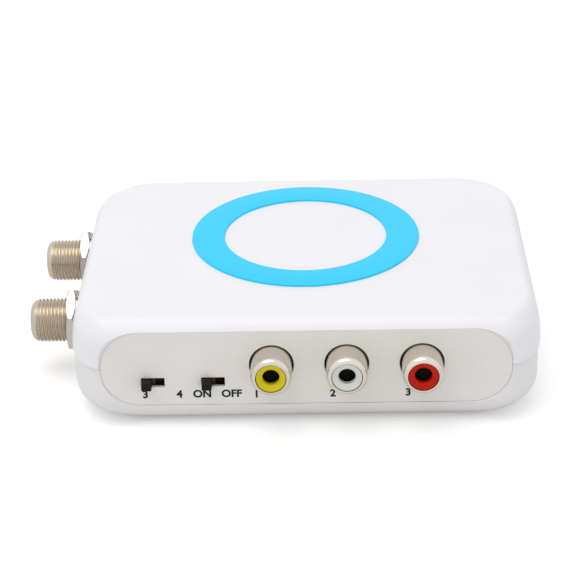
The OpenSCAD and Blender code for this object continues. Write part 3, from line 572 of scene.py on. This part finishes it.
def peg(centre, axis, start, end, radius):
    """Cutter for a round hole."""
    return lathe("cutter", [(radius, start), (radius, end)], centre, axis, "black_plastic")


F_NODES = ("front", "back")
F_AXES = {k: local(f"rf_barrel_{k}")[2] for k in F_NODES}
F_HOLE_R = 4.95
DC_HOLE_R = 4.3
NOSE_X = local("rf_barrel_front")[0][0]
CASE_LEFT = -BODY_W / 2
dc_low, dc_high, dc_mid = local("dc_housing")
DC_X = dc_mid[0]
DC_Z = local("dc_pin")[2][2]
RCA_NODES = ("video", "left", "right")
RCA_AXES = {k: local(f"rca_sleeve_{k}")[2] for k in RCA_NODES}
RCA_TIP = local("rca_sleeve_video")[0][1]
RCA_ROOT = local("rca_sleeve_video")[1][1]
SWITCHES = ("channel", "power")
FRAMES = {k: local(f"{k}_frame") for k in SWITCHES}

# How far cutters run past what they cut: well clear of it, or only just
OVER = 1
OVER_LOW = 0.6
HOLE_L = 3
DC_HOLE_L = 5


def side_cutters():
    """Round holes for the aerial sockets and the power socket."""
    pegs = [peg((CASE_LEFT, y, z), "x", -OVER, HOLE_L, F_HOLE_R) for _, y, z in F_AXES.values()]
    return pegs + [peg((DC_X, BODY_D / 2, DC_Z), "y", -DC_HOLE_L, OVER, DC_HOLE_R)]


COVER_FLARE = 1.0
LOW_FLARE = 0.7
OPENING_FIT = 0.01


def opening(flare):
    """Cutter for the panel, which widens forwards from the panel's face by flare for each millimetre."""
    front = FRONT_Y - OVER_LOW
    back = PANEL_Y + PANEL_T + OVER_LOW
    rings = [panel_ring(front, (PANEL_Y - front) * flare)]
    rings += [panel_ring(y, OPENING_FIT) for y in (PANEL_Y, back)]
    return loft("cutter", rings, "black_plastic")


RIM_DROP = 1.1
RIM_END = 0.8
RIM_T = 0.8
RIM_FIT = 0.05


def rim_cutter():
    """Cutter for the panel's rim behind the opening."""
    back = PANEL_Y + PANEL_T
    rings = [panel_ring(y, RIM_FIT, RIM_DROP, RIM_END) for y in (back - RIM_T - RIM_FIT, back + OVER_LOW)]
    return loft("cutter", rings, "black_plastic")


RING_OUT = 25.0
RING_IN = 17.875
RING_T = 1.0
RING_FIT = 0.03
RING_STEPS = 192
ring_mid = local("accent_ring")[2]
RING_TOP = local("accent_ring")[1][2]
RING_LOW = RING_TOP - RING_T
RING_CENTRE = (ring_mid[0], ring_mid[1], 0)


def ring_groove():
    """Cutter for the groove in the lid that the coloured ring lies in."""
    near, far = RING_IN - RING_FIT, RING_OUT + RING_FIT
    profile = [(near, RING_LOW), (far, RING_LOW), (far, BODY_H + OVER), (near, BODY_H + OVER)]
    return lathe("cutter", profile, RING_CENTRE, "z", "black_plastic", steps=RING_STEPS, closed=True)


top_cover = loft("cover_shell", cover_rings(), "white_case")
cut(top_cover, [opening(COVER_FLARE), rim_cutter(), ring_groove()] + side_cutters())
refine(top_cover, "white_case")
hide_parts("top_cover")

# Places of the screws, in from the sides, the front and the back
SCREW_IN = (10.75, 10.85, 9.25)
SCREW_X = BODY_W / 2 - SCREW_IN[0]
SCREW_SPOTS = [(s * SCREW_X, y) for s in (-1, 1) for y in (FRONT_Y + SCREW_IN[1], BODY_D / 2 - SCREW_IN[2])]
RECESS_R = 2.7
RECESS_FROM = 0.1
RECESS_TO = 4
# The bottom shell takes the cover's white made a little darker, as painted shade
bottom_case = loft("bottom_shell", bottom_rings(), "white_low_painted_shade")
recesses = [peg((x, y, 0), "z", RECESS_FROM, RECESS_TO, RECESS_R) for x, y in SCREW_SPOTS]
cut(bottom_case, [opening(LOW_FLARE), rim_cutter()] + side_cutters() + recesses)
refine(bottom_case, "white_low_painted_shade")
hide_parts("bottom_case")


# Front panel with soft edges and the switches' slots. The jacks sit a little high in their holes.

EDGE = 0.18
EDGE_STEPS = 4
PANEL_FIT = 0.02
RCA_HOLE_R = 4.62
RCA_HOLE_DROP = 0.22
RCA_HOLE_EDGE = 0.1
SLOT_W = 4.9
SLOT_H = 2.2
SLOT_EDGE = 0.12
SLOT_WALL = 0.8
FIT = 0.1
POCKET_EDGE = 0.05
PLATE_SHARP = 50
PANEL_SHARP = 40
back_y = PANEL_Y + PANEL_T
plate_rings = [panel_ring(PANEL_Y + EDGE * (1 - math.cos(a)), -PANEL_FIT - EDGE * (1 - math.sin(a)))
               for a in quarter(EDGE_STEPS)]
plate_rings.append(panel_ring(back_y, -PANEL_FIT))
panel = loft("front_plate", plate_rings, "grey_panel", sharp=PLATE_SHARP)
rim_rings = [panel_ring(y, 0.0, RIM_DROP, RIM_END) for y in (back_y - RIM_T, back_y)]
rim = loft("front_rim", rim_rings, "grey_panel")
holes = []
rca_hole = [(RCA_HOLE_R + RCA_HOLE_EDGE, PANEL_Y - RCA_HOLE_EDGE), (RCA_HOLE_R, PANEL_Y + RCA_HOLE_EDGE),
            (RCA_HOLE_R, back_y + OVER)]
for x, _, z in RCA_AXES.values():
    holes.append(lathe("cutter", rca_hole, (x, 0, z - RCA_HOLE_DROP), "y", "black_plastic", steps=128))
for low, high, mid in FRAMES.values():
    holes.append(soft_box("cutter", (mid[0] - SLOT_W / 2, PANEL_Y - OVER, mid[2] - SLOT_H / 2),
                          (mid[0] + SLOT_W / 2, back_y + OVER, mid[2] + SLOT_H / 2), SLOT_EDGE,
                          "black_plastic"))
    holes.append(soft_box("cutter", (low[0] - FIT, PANEL_Y + SLOT_WALL, low[2] - FIT),
                          (high[0] + FIT, back_y + OVER, high[2] + FIT), POCKET_EDGE, "black_plastic"))
cut(panel, [rim], "UNION")
cut(panel, holes)
refine(panel, "grey_panel", sharp=PANEL_SHARP)
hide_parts("front_panel")


# Coloured ring with finely rounded upper edges

RING_ROLL = 0.12
RING_ROLL_STEPS = 8
ring_profile = [(RING_IN, RING_LOW), (RING_OUT, RING_LOW)]
for a in quarter(RING_ROLL_STEPS):
    ring_profile.append((RING_OUT - RING_ROLL * (1 - math.cos(a)), RING_TOP - RING_ROLL * (1 - math.sin(a))))
for a in quarter(RING_ROLL_STEPS):
    ring_profile.append((RING_IN + RING_ROLL * (1 - math.sin(a)), RING_TOP - RING_ROLL * (1 - math.cos(a))))
blue = lathe("lid_ring", ring_profile, RING_CENTRE, "z", "blue_ring", steps=RING_STEPS, closed=True)
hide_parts("accent_ring")


# Aerial sockets: threaded barrel, nut, washer and white core

PITCH = 0.794
THREAD_R = 4.75
THREAD_DEPTH = 0.42
THREAD_FROM = 0.9
THREAD_EASE = 0.9
# Shape of the thread: how steep its flanks are, and how much of its crest stays whole
VALLEY_SLOPE = 1.35
VALLEY_SHIFT = 0.12
NOSE_L = 2.4
NOSE_IN = 1.85
NOSE_STEPS = 48
BORE_R = 2.5
BORE_L = 9.0
BORE_EDGE = 0.05
NUT_T = 2.0
NUT_AF = 12.6
NUT_CHAMFER = 0.6
WASHER_T = 0.4
WASHER_R = 6.2
NUT_X = CASE_LEFT - WASHER_T - NUT_T
THREAD_IN_NUT = 0.6
NECK_IN = 0.5
NECK_EASE = 0.02
WALL_FIT = 0.1
SHOULDER_R = 5.45
SHOULDER_T = 3.0
BARREL_STEPS = 120
PER_TURN = 12


def ease(t):
    """A soft step from 0 to 1."""
    t = min(1.0, max(0.0, t))
    return t * t * (3 - 2 * t)


def barrel(name, y, z, node):
    """A barrel whose thread is one helix, with a wide round nose and the shoulder inside the wall."""
    turned = [(BORE_R, BORE_L), (BORE_R, BORE_EDGE), (BORE_R + BORE_EDGE, 0.0)]
    for a in quarter(NOSE_STEPS):
        turned.append((THREAD_R - NOSE_IN * (1 - math.sin(a)), NOSE_L * (1 - math.cos(a))))
    free = NUT_X + THREAD_IN_NUT - NOSE_X
    count = int((free - NOSE_L) / PITCH * PER_TURN)
    turned += [(THREAD_R, NOSE_L + (free - NOSE_L) * i / count) for i in range(1, count + 1)]
    neck_r = THREAD_R - NECK_IN
    wall_x = CASE_LEFT + WALL + WALL_FIT - NOSE_X
    turned += [(neck_r, free + NECK_EASE), (neck_r, wall_x), (SHOULDER_R, wall_x),
               (SHOULDER_R, wall_x + SHOULDER_T)]
    rings = []
    for r, t in turned:
        points = []
        for i, a in enumerate(turn(BARREL_STEPS)):
            radius = r
            if THREAD_FROM < t <= free and r > BORE_R + BORE_EDGE:
                phase = (t / PITCH - i / BARREL_STEPS) % 1.0
                valley = min(1.0, max(0.0, VALLEY_SLOPE * (1 - abs(2 * phase - 1)) - VALLEY_SHIFT))
                radius -= THREAD_DEPTH * valley * ease((t - THREAD_FROM) / THREAD_EASE)
            points.append((NOSE_X + t, y + radius * math.cos(a), z + radius * math.sin(a)))
        rings.append(points)
    piece = loft(name, rings, "nickel_barrel", closed=True, sharp=60)
    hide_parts(node)


def hex_radius(angle, flats):
    """Radius of a hexagon with a vertex straight up, at an angle from straight up."""
    folded = (angle + math.pi / 6) % (math.pi / 3) - math.pi / 6
    return flats / 2 / math.cos(math.pi / 6 - abs(folded))


NUT_STEPS = 240
NUT_BORE_IN = 0.3
NUT_BORE_EDGE = 0.5
NUT_EDGE = 0.05
NUT_EDGE_L = 0.04
# Depths of the nut's rings from each face, finer in the chamfer
NUT_DEPTHS = [0, NUT_EDGE_L, 0.1, 0.2, 0.3, 0.4, 0.5, NUT_CHAMFER, 0.8]


def nut(name, y, z, node):
    """A hexagon nut with both faces chamfered to a cone."""
    depths = NUT_DEPTHS + [NUT_T - d for d in reversed(NUT_DEPTHS)]
    slope = (NUT_AF / math.sqrt(3) - NUT_AF / 2) / NUT_CHAMFER
    inner = THREAD_R - NUT_BORE_IN
    rings = [[(NUT_X + t, y + r * math.cos(a), z + r * math.sin(a)) for a in turn(NUT_STEPS)]
             for t, r in ((NUT_T, inner), (0, inner), (0, inner + NUT_BORE_EDGE))]
    for t in depths:
        edge = min(t, NUT_T - t)
        cone = NUT_AF / 2 - NUT_EDGE + slope * edge + NUT_EDGE * min(1, edge / NUT_EDGE_L)
        points = []
        for a in turn(NUT_STEPS):
            radius = min(cone, hex_radius(a - math.pi / 2, NUT_AF))
            points.append((NUT_X + t, y + radius * math.cos(a), z + radius * math.sin(a)))
        rings.append(points)
    piece = loft(name, rings, "nickel_nut", closed=True, sharp=24)
    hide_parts(node)


TEETH = 12
TOOTH_STEPS = 16
NOTCH_DEPTH = 0.7
# Where the notch starts and ends in a tooth's share of the rim
NOTCH_FROM = 0.42
NOTCH_TO = 0.62
WASHER_EDGE = 0.08
WASHER_SOFT = 0.1
WASHER_BORE_R = 4.77


def washer(name, y, z, node):
    """A thin washer whose rim is cut into locking teeth."""
    soft_r = WASHER_R - WASHER_SOFT
    profile = [(WASHER_EDGE, WASHER_R), (0.0, soft_r), (0.0, WASHER_BORE_R), (WASHER_T, WASHER_BORE_R),
               (WASHER_T, soft_r), (WASHER_T - WASHER_EDGE, WASHER_R)]
    rings = []
    for t, r in profile:
        points = []
        for i, a in enumerate(turn(TEETH * TOOTH_STEPS)):
            notched = r > WASHER_BORE_R and NOTCH_FROM < i / TOOTH_STEPS % 1.0 < NOTCH_TO
            radius = r - NOTCH_DEPTH if notched else r
            points.append((CASE_LEFT - WASHER_T + t, y + radius * math.cos(a), z + radius * math.sin(a)))
        rings.append(points)
    piece = loft(name, rings, "nickel_nut", closed=True, sharp=30)
    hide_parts(node)


CORE_IN = 0.3
CORE_FIT = 0.05
CORE_SOFT = 0.12
LEAD_R = 1.3
WIRE_R = 0.56
# The lead-in narrows to the wire's hole in two steps: radius and depth
LEAD_MID = (0.75, 1.1)
LEAD_END = (WIRE_R, 1.7)
for side in F_NODES:
    _, y, z = F_AXES[side]
    barrel(f"aerial_barrel_{side}", y, z, f"rf_barrel_{side}")
    nut(f"aerial_nut_{side}", y, z, f"rf_nut_{side}")
    washer(f"aerial_washer_{side}", y, z, f"rf_washer_{side}")
    tail = local(f"rf_insulator_{side}")[1][0] - NOSE_X
    core = rounded([(WIRE_R, tail), LEAD_END, LEAD_MID, (LEAD_R, CORE_IN), (BORE_R - CORE_FIT, CORE_IN),
                    (BORE_R - CORE_FIT, tail)], CORE_SOFT)
    piece = lathe(f"aerial_core_{side}", core, (NOSE_X, y, z), "x", "white_core", steps=64, closed=True)
    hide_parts(f"rf_insulator_{side}")


# Phono jacks: rolled sleeve, coloured core with its funnel, and the contact inside

RCA_R = 4.2
RCA_WALL = 0.6
RCA_STEP = 0.2
RCA_STEP_EASE = 0.01
MOUTH_R = 3.1
RIM_L = 1.1
RIM_LIP = 0.5
RIM_STEPS = 16
# Inner edge of the lip: how much wider than the mouth it gets, and over what depth
LIP_EDGE = (0.08, 0.06)
CORE_FACE = 0.1
FUNNEL_L = 0.6
FUNNEL_R = 2.8
SOCKET_R = 1.75
CONTACT_IN = 1.7
CORE_BORE_R = 2.15
JACK_SOFT = 0.14
# The white core's colour holds painted shade
CORE_SLOTS = {"video": "yellow_core", "left": "white_core", "right": "red_core"}


def sleeve(key, x, z):
    """Plated sleeve with a rolled rim and a step where the panel starts."""
    length = RCA_ROOT - RCA_TIP
    reach = PANEL_Y - RCA_TIP
    profile = [(RCA_R - RCA_WALL, length), (RCA_R - RCA_WALL, RIM_L),
               (MOUTH_R + LIP_EDGE[0], RIM_LIP + LIP_EDGE[1]), (MOUTH_R, RIM_LIP)]
    for a in quarter(RIM_STEPS)[1:]:
        profile.append((MOUTH_R + (RCA_R - MOUTH_R) * math.sin(a), RIM_L - RIM_L * math.cos(a)))
    profile += [(RCA_R, reach - RCA_STEP_EASE), (RCA_R - RCA_STEP, reach), (RCA_R - RCA_STEP, length)]
    piece = lathe(f"jack_sleeve_{key}", profile, (x, RCA_TIP, z), "y", "nickel", steps=128, closed=True,
                  sharp=40)
    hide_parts(f"rca_sleeve_{key}")


def jack_core(key, x, z):
    """Coloured core with a funnel for the plug's pin."""
    length = local(f"rca_insulator_{key}")[1][1] - RCA_TIP
    outer = RCA_R - RCA_WALL - CORE_FIT
    nose = MOUTH_R - CORE_FIT
    seat = CORE_FACE + CONTACT_IN
    profile = rounded([(CORE_BORE_R, length), (CORE_BORE_R, seat), (SOCKET_R, seat),
                       (SOCKET_R, CORE_FACE + FUNNEL_L), (FUNNEL_R, CORE_FACE), (nose, CORE_FACE),
                       (nose, RIM_L), (outer, RIM_L), (outer, length)], JACK_SOFT)
    piece = lathe(f"jack_core_{key}", profile, (x, RCA_TIP, z), "y", CORE_SLOTS[key], steps=96, closed=True)
    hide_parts(f"rca_insulator_{key}")


CONTACT_R = 2.1
CONTACT_BORE_R = 1.62
CONTACT_SOFT = 0.1
# Distances from the contact's closed end to the point of its bore and to the bore's full width
BORE_POINT = 1.2
BORE_FULL = 2.4


def jack_contact(key, x, z):
    """Spring contact deep in the core, coloured near black as painted shade of the deep hole."""
    (_, start, _), (_, end, _), _ = local(f"rca_contact_{key}")
    profile = rounded([(CONTACT_R, start), (CONTACT_R, end), (0, end), (0, end - BORE_POINT),
                       (CONTACT_BORE_R, end - BORE_FULL), (CONTACT_BORE_R, start)], CONTACT_SOFT)
    piece = lathe(f"jack_contact_{key}", profile + profile[:1], (x, 0, z), "y", "contact_painted_shade", steps=64)
    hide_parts(f"rca_contact_{key}")


for key, (x, _, z) in RCA_AXES.items():
    sleeve(key, x, z)
    jack_core(key, x, z)
    jack_contact(key, x, z)


# Slide switches: black lever with worn soft edges on its brown carriage

LEVER_W = 2.05
LEVER_H = 1.9
LEVER_EDGE = 0.12
LEVER_SEAT = 0.7
CARRIAGE_T = 1.4
CARRIAGE_EDGE = 0.1
for key in SWITCHES:
    low, high, mid = local(f"{key}_slider")
    carriage_y = high[1] - CARRIAGE_T
    body = f"{key}_lever"
    lever = soft_box(f"switch_lever_{key}", (mid[0] - LEVER_W / 2, low[1], mid[2] - LEVER_H / 2),
                     (mid[0] + LEVER_W / 2, carriage_y + LEVER_SEAT, mid[2] + LEVER_H / 2),
                     LEVER_EDGE, "lever_black", body)
    soft_box(f"switch_carriage_{key}", (low[0], carriage_y, low[2]), high, CARRIAGE_EDGE, "brown_board", body)
    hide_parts(f"{key}_slider")


# Power socket at the back: moulded collar on its box, and the pin with a round tip

COLLAR_R = 4.1
COLLAR_EDGE = 0.25
COLLAR_IN = 0.7
BOX_OVERLAP = 0.6
DC_FACE = 0.3
DC_BORE_R = 2.95
DC_BORE_L = 10.0
DC_PIN_R = 1.0
# The mouth of the bore widens over its depth by its width, and a little past the face
MOUTH_DEPTH = 0.3
MOUTH_WIDE = 0.35
MOUTH_PAST = 0.05
PIN_TIP_STEP = 10
DC_AXIS = (DC_X, 0, DC_Z)
collar_front = BODY_D / 2 - WALL - COLLAR_IN
collar_end = BODY_D / 2 - DC_FACE
bore_end = BODY_D / 2 - DC_FACE - DC_BORE_L
inlet = soft_box("power_box", dc_low, (dc_high[0], collar_front + BOX_OVERLAP, dc_high[2]), COLLAR_EDGE,
                 "black_plastic")
collar_profile = rounded([(0, collar_front), (COLLAR_R, collar_front), (COLLAR_R, collar_end),
                          (0, collar_end)], COLLAR_EDGE)
cut(inlet, [lathe("power_collar", collar_profile, DC_AXIS, "y", "black_plastic")], "UNION")
inlet.name = "power_inlet"
bore_profile = [(DC_BORE_R, bore_end), (DC_BORE_R, collar_end - MOUTH_DEPTH),
                (DC_BORE_R + MOUTH_WIDE, collar_end + MOUTH_PAST)]
cut(inlet, [lathe("cutter", bore_profile, DC_AXIS, "y", "black_plastic")])
refine(inlet, "black_plastic")
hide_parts("dc_housing")
pin_low, pin_high, _ = local("dc_pin")
tip = [(DC_PIN_R * math.cos(math.radians(a)), pin_high[1] - DC_PIN_R + DC_PIN_R * math.sin(math.radians(a)))
       for a in range(0, 91, PIN_TIP_STEP)]
pin = lathe("power_pin", [(0, pin_low[1]), (DC_PIN_R, pin_low[1])] + tip, DC_AXIS, "y", "nickel", steps=48)
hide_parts("dc_pin")


# Feet and screws under the case

FOOT_R = 4.0
FOOT_H = 1.0
FOOT_EDGE = 0.35
# Places of the feet, as shares of the way from the middle to the sides and to the front and back
FOOT_SHARES = (0.62, 0.66)
FOOT_SPOTS = [(sx * FOOT_SHARES[0] * BODY_W / 2, sy * FOOT_SHARES[1] * BODY_D / 2)
              for sx in (-1, 1) for sy in (-1, 1)]
foot = rounded([(0, FOOT_H), (FOOT_R, FOOT_H), (FOOT_R, 0.0), (0, 0.0)], FOOT_EDGE)
feet = join("feet", [lathe("foot", foot, (x, y, 0), "z", "foot_rubber", steps=64) for x, y in FOOT_SPOTS])
dress(feet, "foot_rubber")
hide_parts("rubber_feet")

HEAD_Z = 1.1
HEAD_R = 2.5
HEAD_T = 1.6
HEAD_DOME = 0.35
HEAD_FLAT = 0.8
HEAD_SOFT = 0.15
SHANK_R = 1.3
SHANK_TOP = 12.0
# The cross in the head: half its length and half its width, its depth and its soft corners
DRIVE = (1.3, 0.25)
DRIVE_DEPTH = 0.9
DRIVE_SOFT = 0.08
head_top = HEAD_Z + HEAD_T
head = rounded([(0, SHANK_TOP), (SHANK_R, SHANK_TOP), (SHANK_R, head_top), (HEAD_R, head_top),
                (HEAD_R, HEAD_Z + HEAD_DOME), (HEAD_R * HEAD_FLAT, HEAD_Z), (0, HEAD_Z)], HEAD_SOFT)
screws = []
for x, y in SCREW_SPOTS:
    screw = lathe("screw", head, (x, y, 0), "z", "screw_steel", steps=64)
    cut(screw, [soft_box("cutter", (x - w, y - d, HEAD_Z - OVER), (x + w, y + d, HEAD_Z + DRIVE_DEPTH),
                         DRIVE_SOFT, "black_plastic") for w, d in (DRIVE, DRIVE[::-1])])
    screws.append(screw)
screws = join("case_fasteners", screws)
refine(screws, "screw_steel")
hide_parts("case_screws")


# Printed marks in two rows: a word or figure, its left end, its height above the table and its size

SWITCH_ROW = (7.2, 1.75)
JACK_ROW = (7.0, 1.7)
MARKS = [("3", -34.0, *SWITCH_ROW), ("4", -26.9, *SWITCH_ROW), ("ON", -23.5, *SWITCH_ROW),
         ("OFF", -17.6, *SWITCH_ROW), ("1", -10.9, *JACK_ROW), ("2", 4.9, *JACK_ROW), ("3", 20.5, *JACK_ROW)]
CAP_SHARE = 0.73
INK = 0.02
INK_SPREAD = 0.09
INK_STEPS = 6


def mark(index, word, x, z, height):
    """Raised ink of one word, as a mesh on the panel's face."""
    curve = bpy.data.curves.new(f"mark_{index}", "FONT")
    curve.body = word
    curve.size = height * MM / CAP_SHARE
    curve.offset = INK_SPREAD * MM
    curve.extrude = INK * MM / 2
    curve.resolution_u = INK_STEPS
    text = bpy.data.objects.new(f"mark_{index}", curve)
    scene.collection.objects.link(text)
    place = Matrix.Translation(MIDDLE + Vector((x, PANEL_Y - INK / 2, z)) * MM)
    text.matrix_world = place @ Matrix.Rotation(math.pi / 2, 4, "X")
    bpy.context.view_layer.update()
    mesh = bpy.data.meshes.new_from_object(text.evaluated_get(bpy.context.evaluated_depsgraph_get()))
    mesh.transform(text.matrix_world)
    bpy.data.objects.remove(text)
    piece = bpy.data.objects.new(f"mark_{index}", mesh)
    scene.collection.objects.link(piece)
    dress(piece, "print_black", sharp=30)


for index, values in enumerate(MARKS):
    mark(index, *values)


# Floor, light and camera

FLOOR_REACH = 3.0
FLOOR_TONE = (0.86, 0.86, 0.86, 1)
FLOOR_GLOW = 0.3
WHITE = (1, 1, 1, 1)


def plain_floor():
    """A pale floor that shows white around the part's soft shadow."""
    mesh = bpy.data.meshes.new("floor")
    corners = [(x * FLOOR_REACH, y * FLOOR_REACH, 0) for x, y in ((-1, -1), (1, -1), (1, 1), (-1, 1))]
    mesh.from_pydata(corners, [], [(0, 1, 2, 3)])
    floor = bpy.data.objects.new("floor", mesh)
    scene.collection.objects.link(floor)
    material = bpy.data.materials.new("floor")
    material.use_nodes = True
    t = Tree(material.node_tree)
    out = t.add("ShaderNodeOutputMaterial")
    cloth = t.add("ShaderNodeBsdfDiffuse")
    cloth.inputs["Color"].default_value = FLOOR_TONE
    glow = t.add("ShaderNodeEmission")
    lift = t.add("ShaderNodeAddShader")
    mixed = t.add("ShaderNodeMixShader")
    rays = t.add("ShaderNodeLightPath")
    glow.inputs["Strength"].default_value = FLOOR_GLOW
    t.link(cloth.outputs[0], lift.inputs[0])
    t.link(glow.outputs[0], lift.inputs[1])
    t.link(rays.outputs["Is Camera Ray"], mixed.inputs[0])
    t.link(cloth.outputs[0], mixed.inputs[1])
    t.link(lift.outputs[0], mixed.inputs[2])
    t.link(mixed.outputs[0], out.inputs["Surface"])
    mesh.materials.append(material)


def white_world(level):
    """White behind everything, and an even light of the given level on the part."""
    world = bpy.data.worlds.new("studio")
    scene.world = world
    world.use_nodes = True
    t = Tree(world.node_tree)
    out = t.add("ShaderNodeOutputWorld")
    lit = t.add("ShaderNodeBackground")
    lit.inputs["Color"].default_value = WHITE
    lit.inputs["Strength"].default_value = level
    white = t.add("ShaderNodeBackground")
    white.inputs["Color"].default_value = WHITE
    white.inputs["Strength"].default_value = 1.0
    rays = t.add("ShaderNodeLightPath")
    first = t.add("ShaderNodeMath", operation="MAXIMUM")
    both = t.add("ShaderNodeMath", operation="MAXIMUM")
    t.link(rays.outputs["Is Camera Ray"], first.inputs[0])
    t.link(rays.outputs["Is Glossy Ray"], first.inputs[1])
    t.link(first.outputs[0], both.inputs[0])
    t.link(rays.outputs["Is Transmission Ray"], both.inputs[1])
    mixed = t.add("ShaderNodeMixShader")
    t.link(both.outputs[0], mixed.inputs[0])
    t.link(lit.outputs[0], mixed.inputs[1])
    t.link(white.outputs[0], mixed.inputs[2])
    t.link(mixed.outputs[0], out.inputs["Surface"])


def square_lamp(name, place, aim, size, power):
    """A square area lamp at a place, turned to an aim, in metres and watts."""
    light = bpy.data.lights.new(name, "AREA")
    light.size = size
    light.energy = power
    obj = bpy.data.objects.new(name, light)
    scene.collection.objects.link(obj)
    obj.location = place
    obj.rotation_euler = (Vector(aim) - Vector(place)).to_track_quat("-Z", "Y").to_euler()


# Camera solved from the photograph: place, turn right, tilt down and roll in degrees, and focal length
CAMERA_PLACE = Vector((4.224, -384.749, 212.117))
CAMERA_TURN = (-1.170, 27.311, 1.353)
FOCUS_PIXELS = 1948.65
FRAME_PIXELS = 580
SENSOR = 36.0
CLIP_START = 0.01


def photo_camera():
    """The camera that sees the part as the photograph does."""
    yaw, pitch, lean = (math.radians(a) for a in CAMERA_TURN)
    ahead = Vector((math.sin(yaw) * math.cos(pitch), math.cos(yaw) * math.cos(pitch), -math.sin(pitch)))
    right = Vector((math.cos(yaw), -math.sin(yaw), 0))
    down = ahead.cross(right)
    across = math.cos(lean) * right + math.sin(lean) * down
    under = -math.sin(lean) * right + math.cos(lean) * down
    camera = bpy.data.cameras.new("camera")
    camera.sensor_width = SENSOR
    camera.lens = FOCUS_PIXELS / FRAME_PIXELS * SENSOR
    camera.clip_start = CLIP_START
    obj = bpy.data.objects.new("camera", camera)
    scene.collection.objects.link(obj)
    facing = Matrix((across, -under, -ahead)).transposed().to_4x4()
    obj.matrix_world = Matrix.Translation(MIDDLE + CAMERA_PLACE * MM) @ facing
    scene.camera = obj


WORLD_LEVEL = 0.75
KEY_PLACE = (-0.2, -0.15, 0.9)
KEY_AIM = (0, 0, 0.01)
KEY_SIZE = 0.7
KEY_POWER = 2.8
plain_floor()
white_world(WORLD_LEVEL)
square_lamp("key", KEY_PLACE, KEY_AIM, KEY_SIZE, KEY_POWER)
photo_camera()
scene.view_settings.view_transform = "Standard"
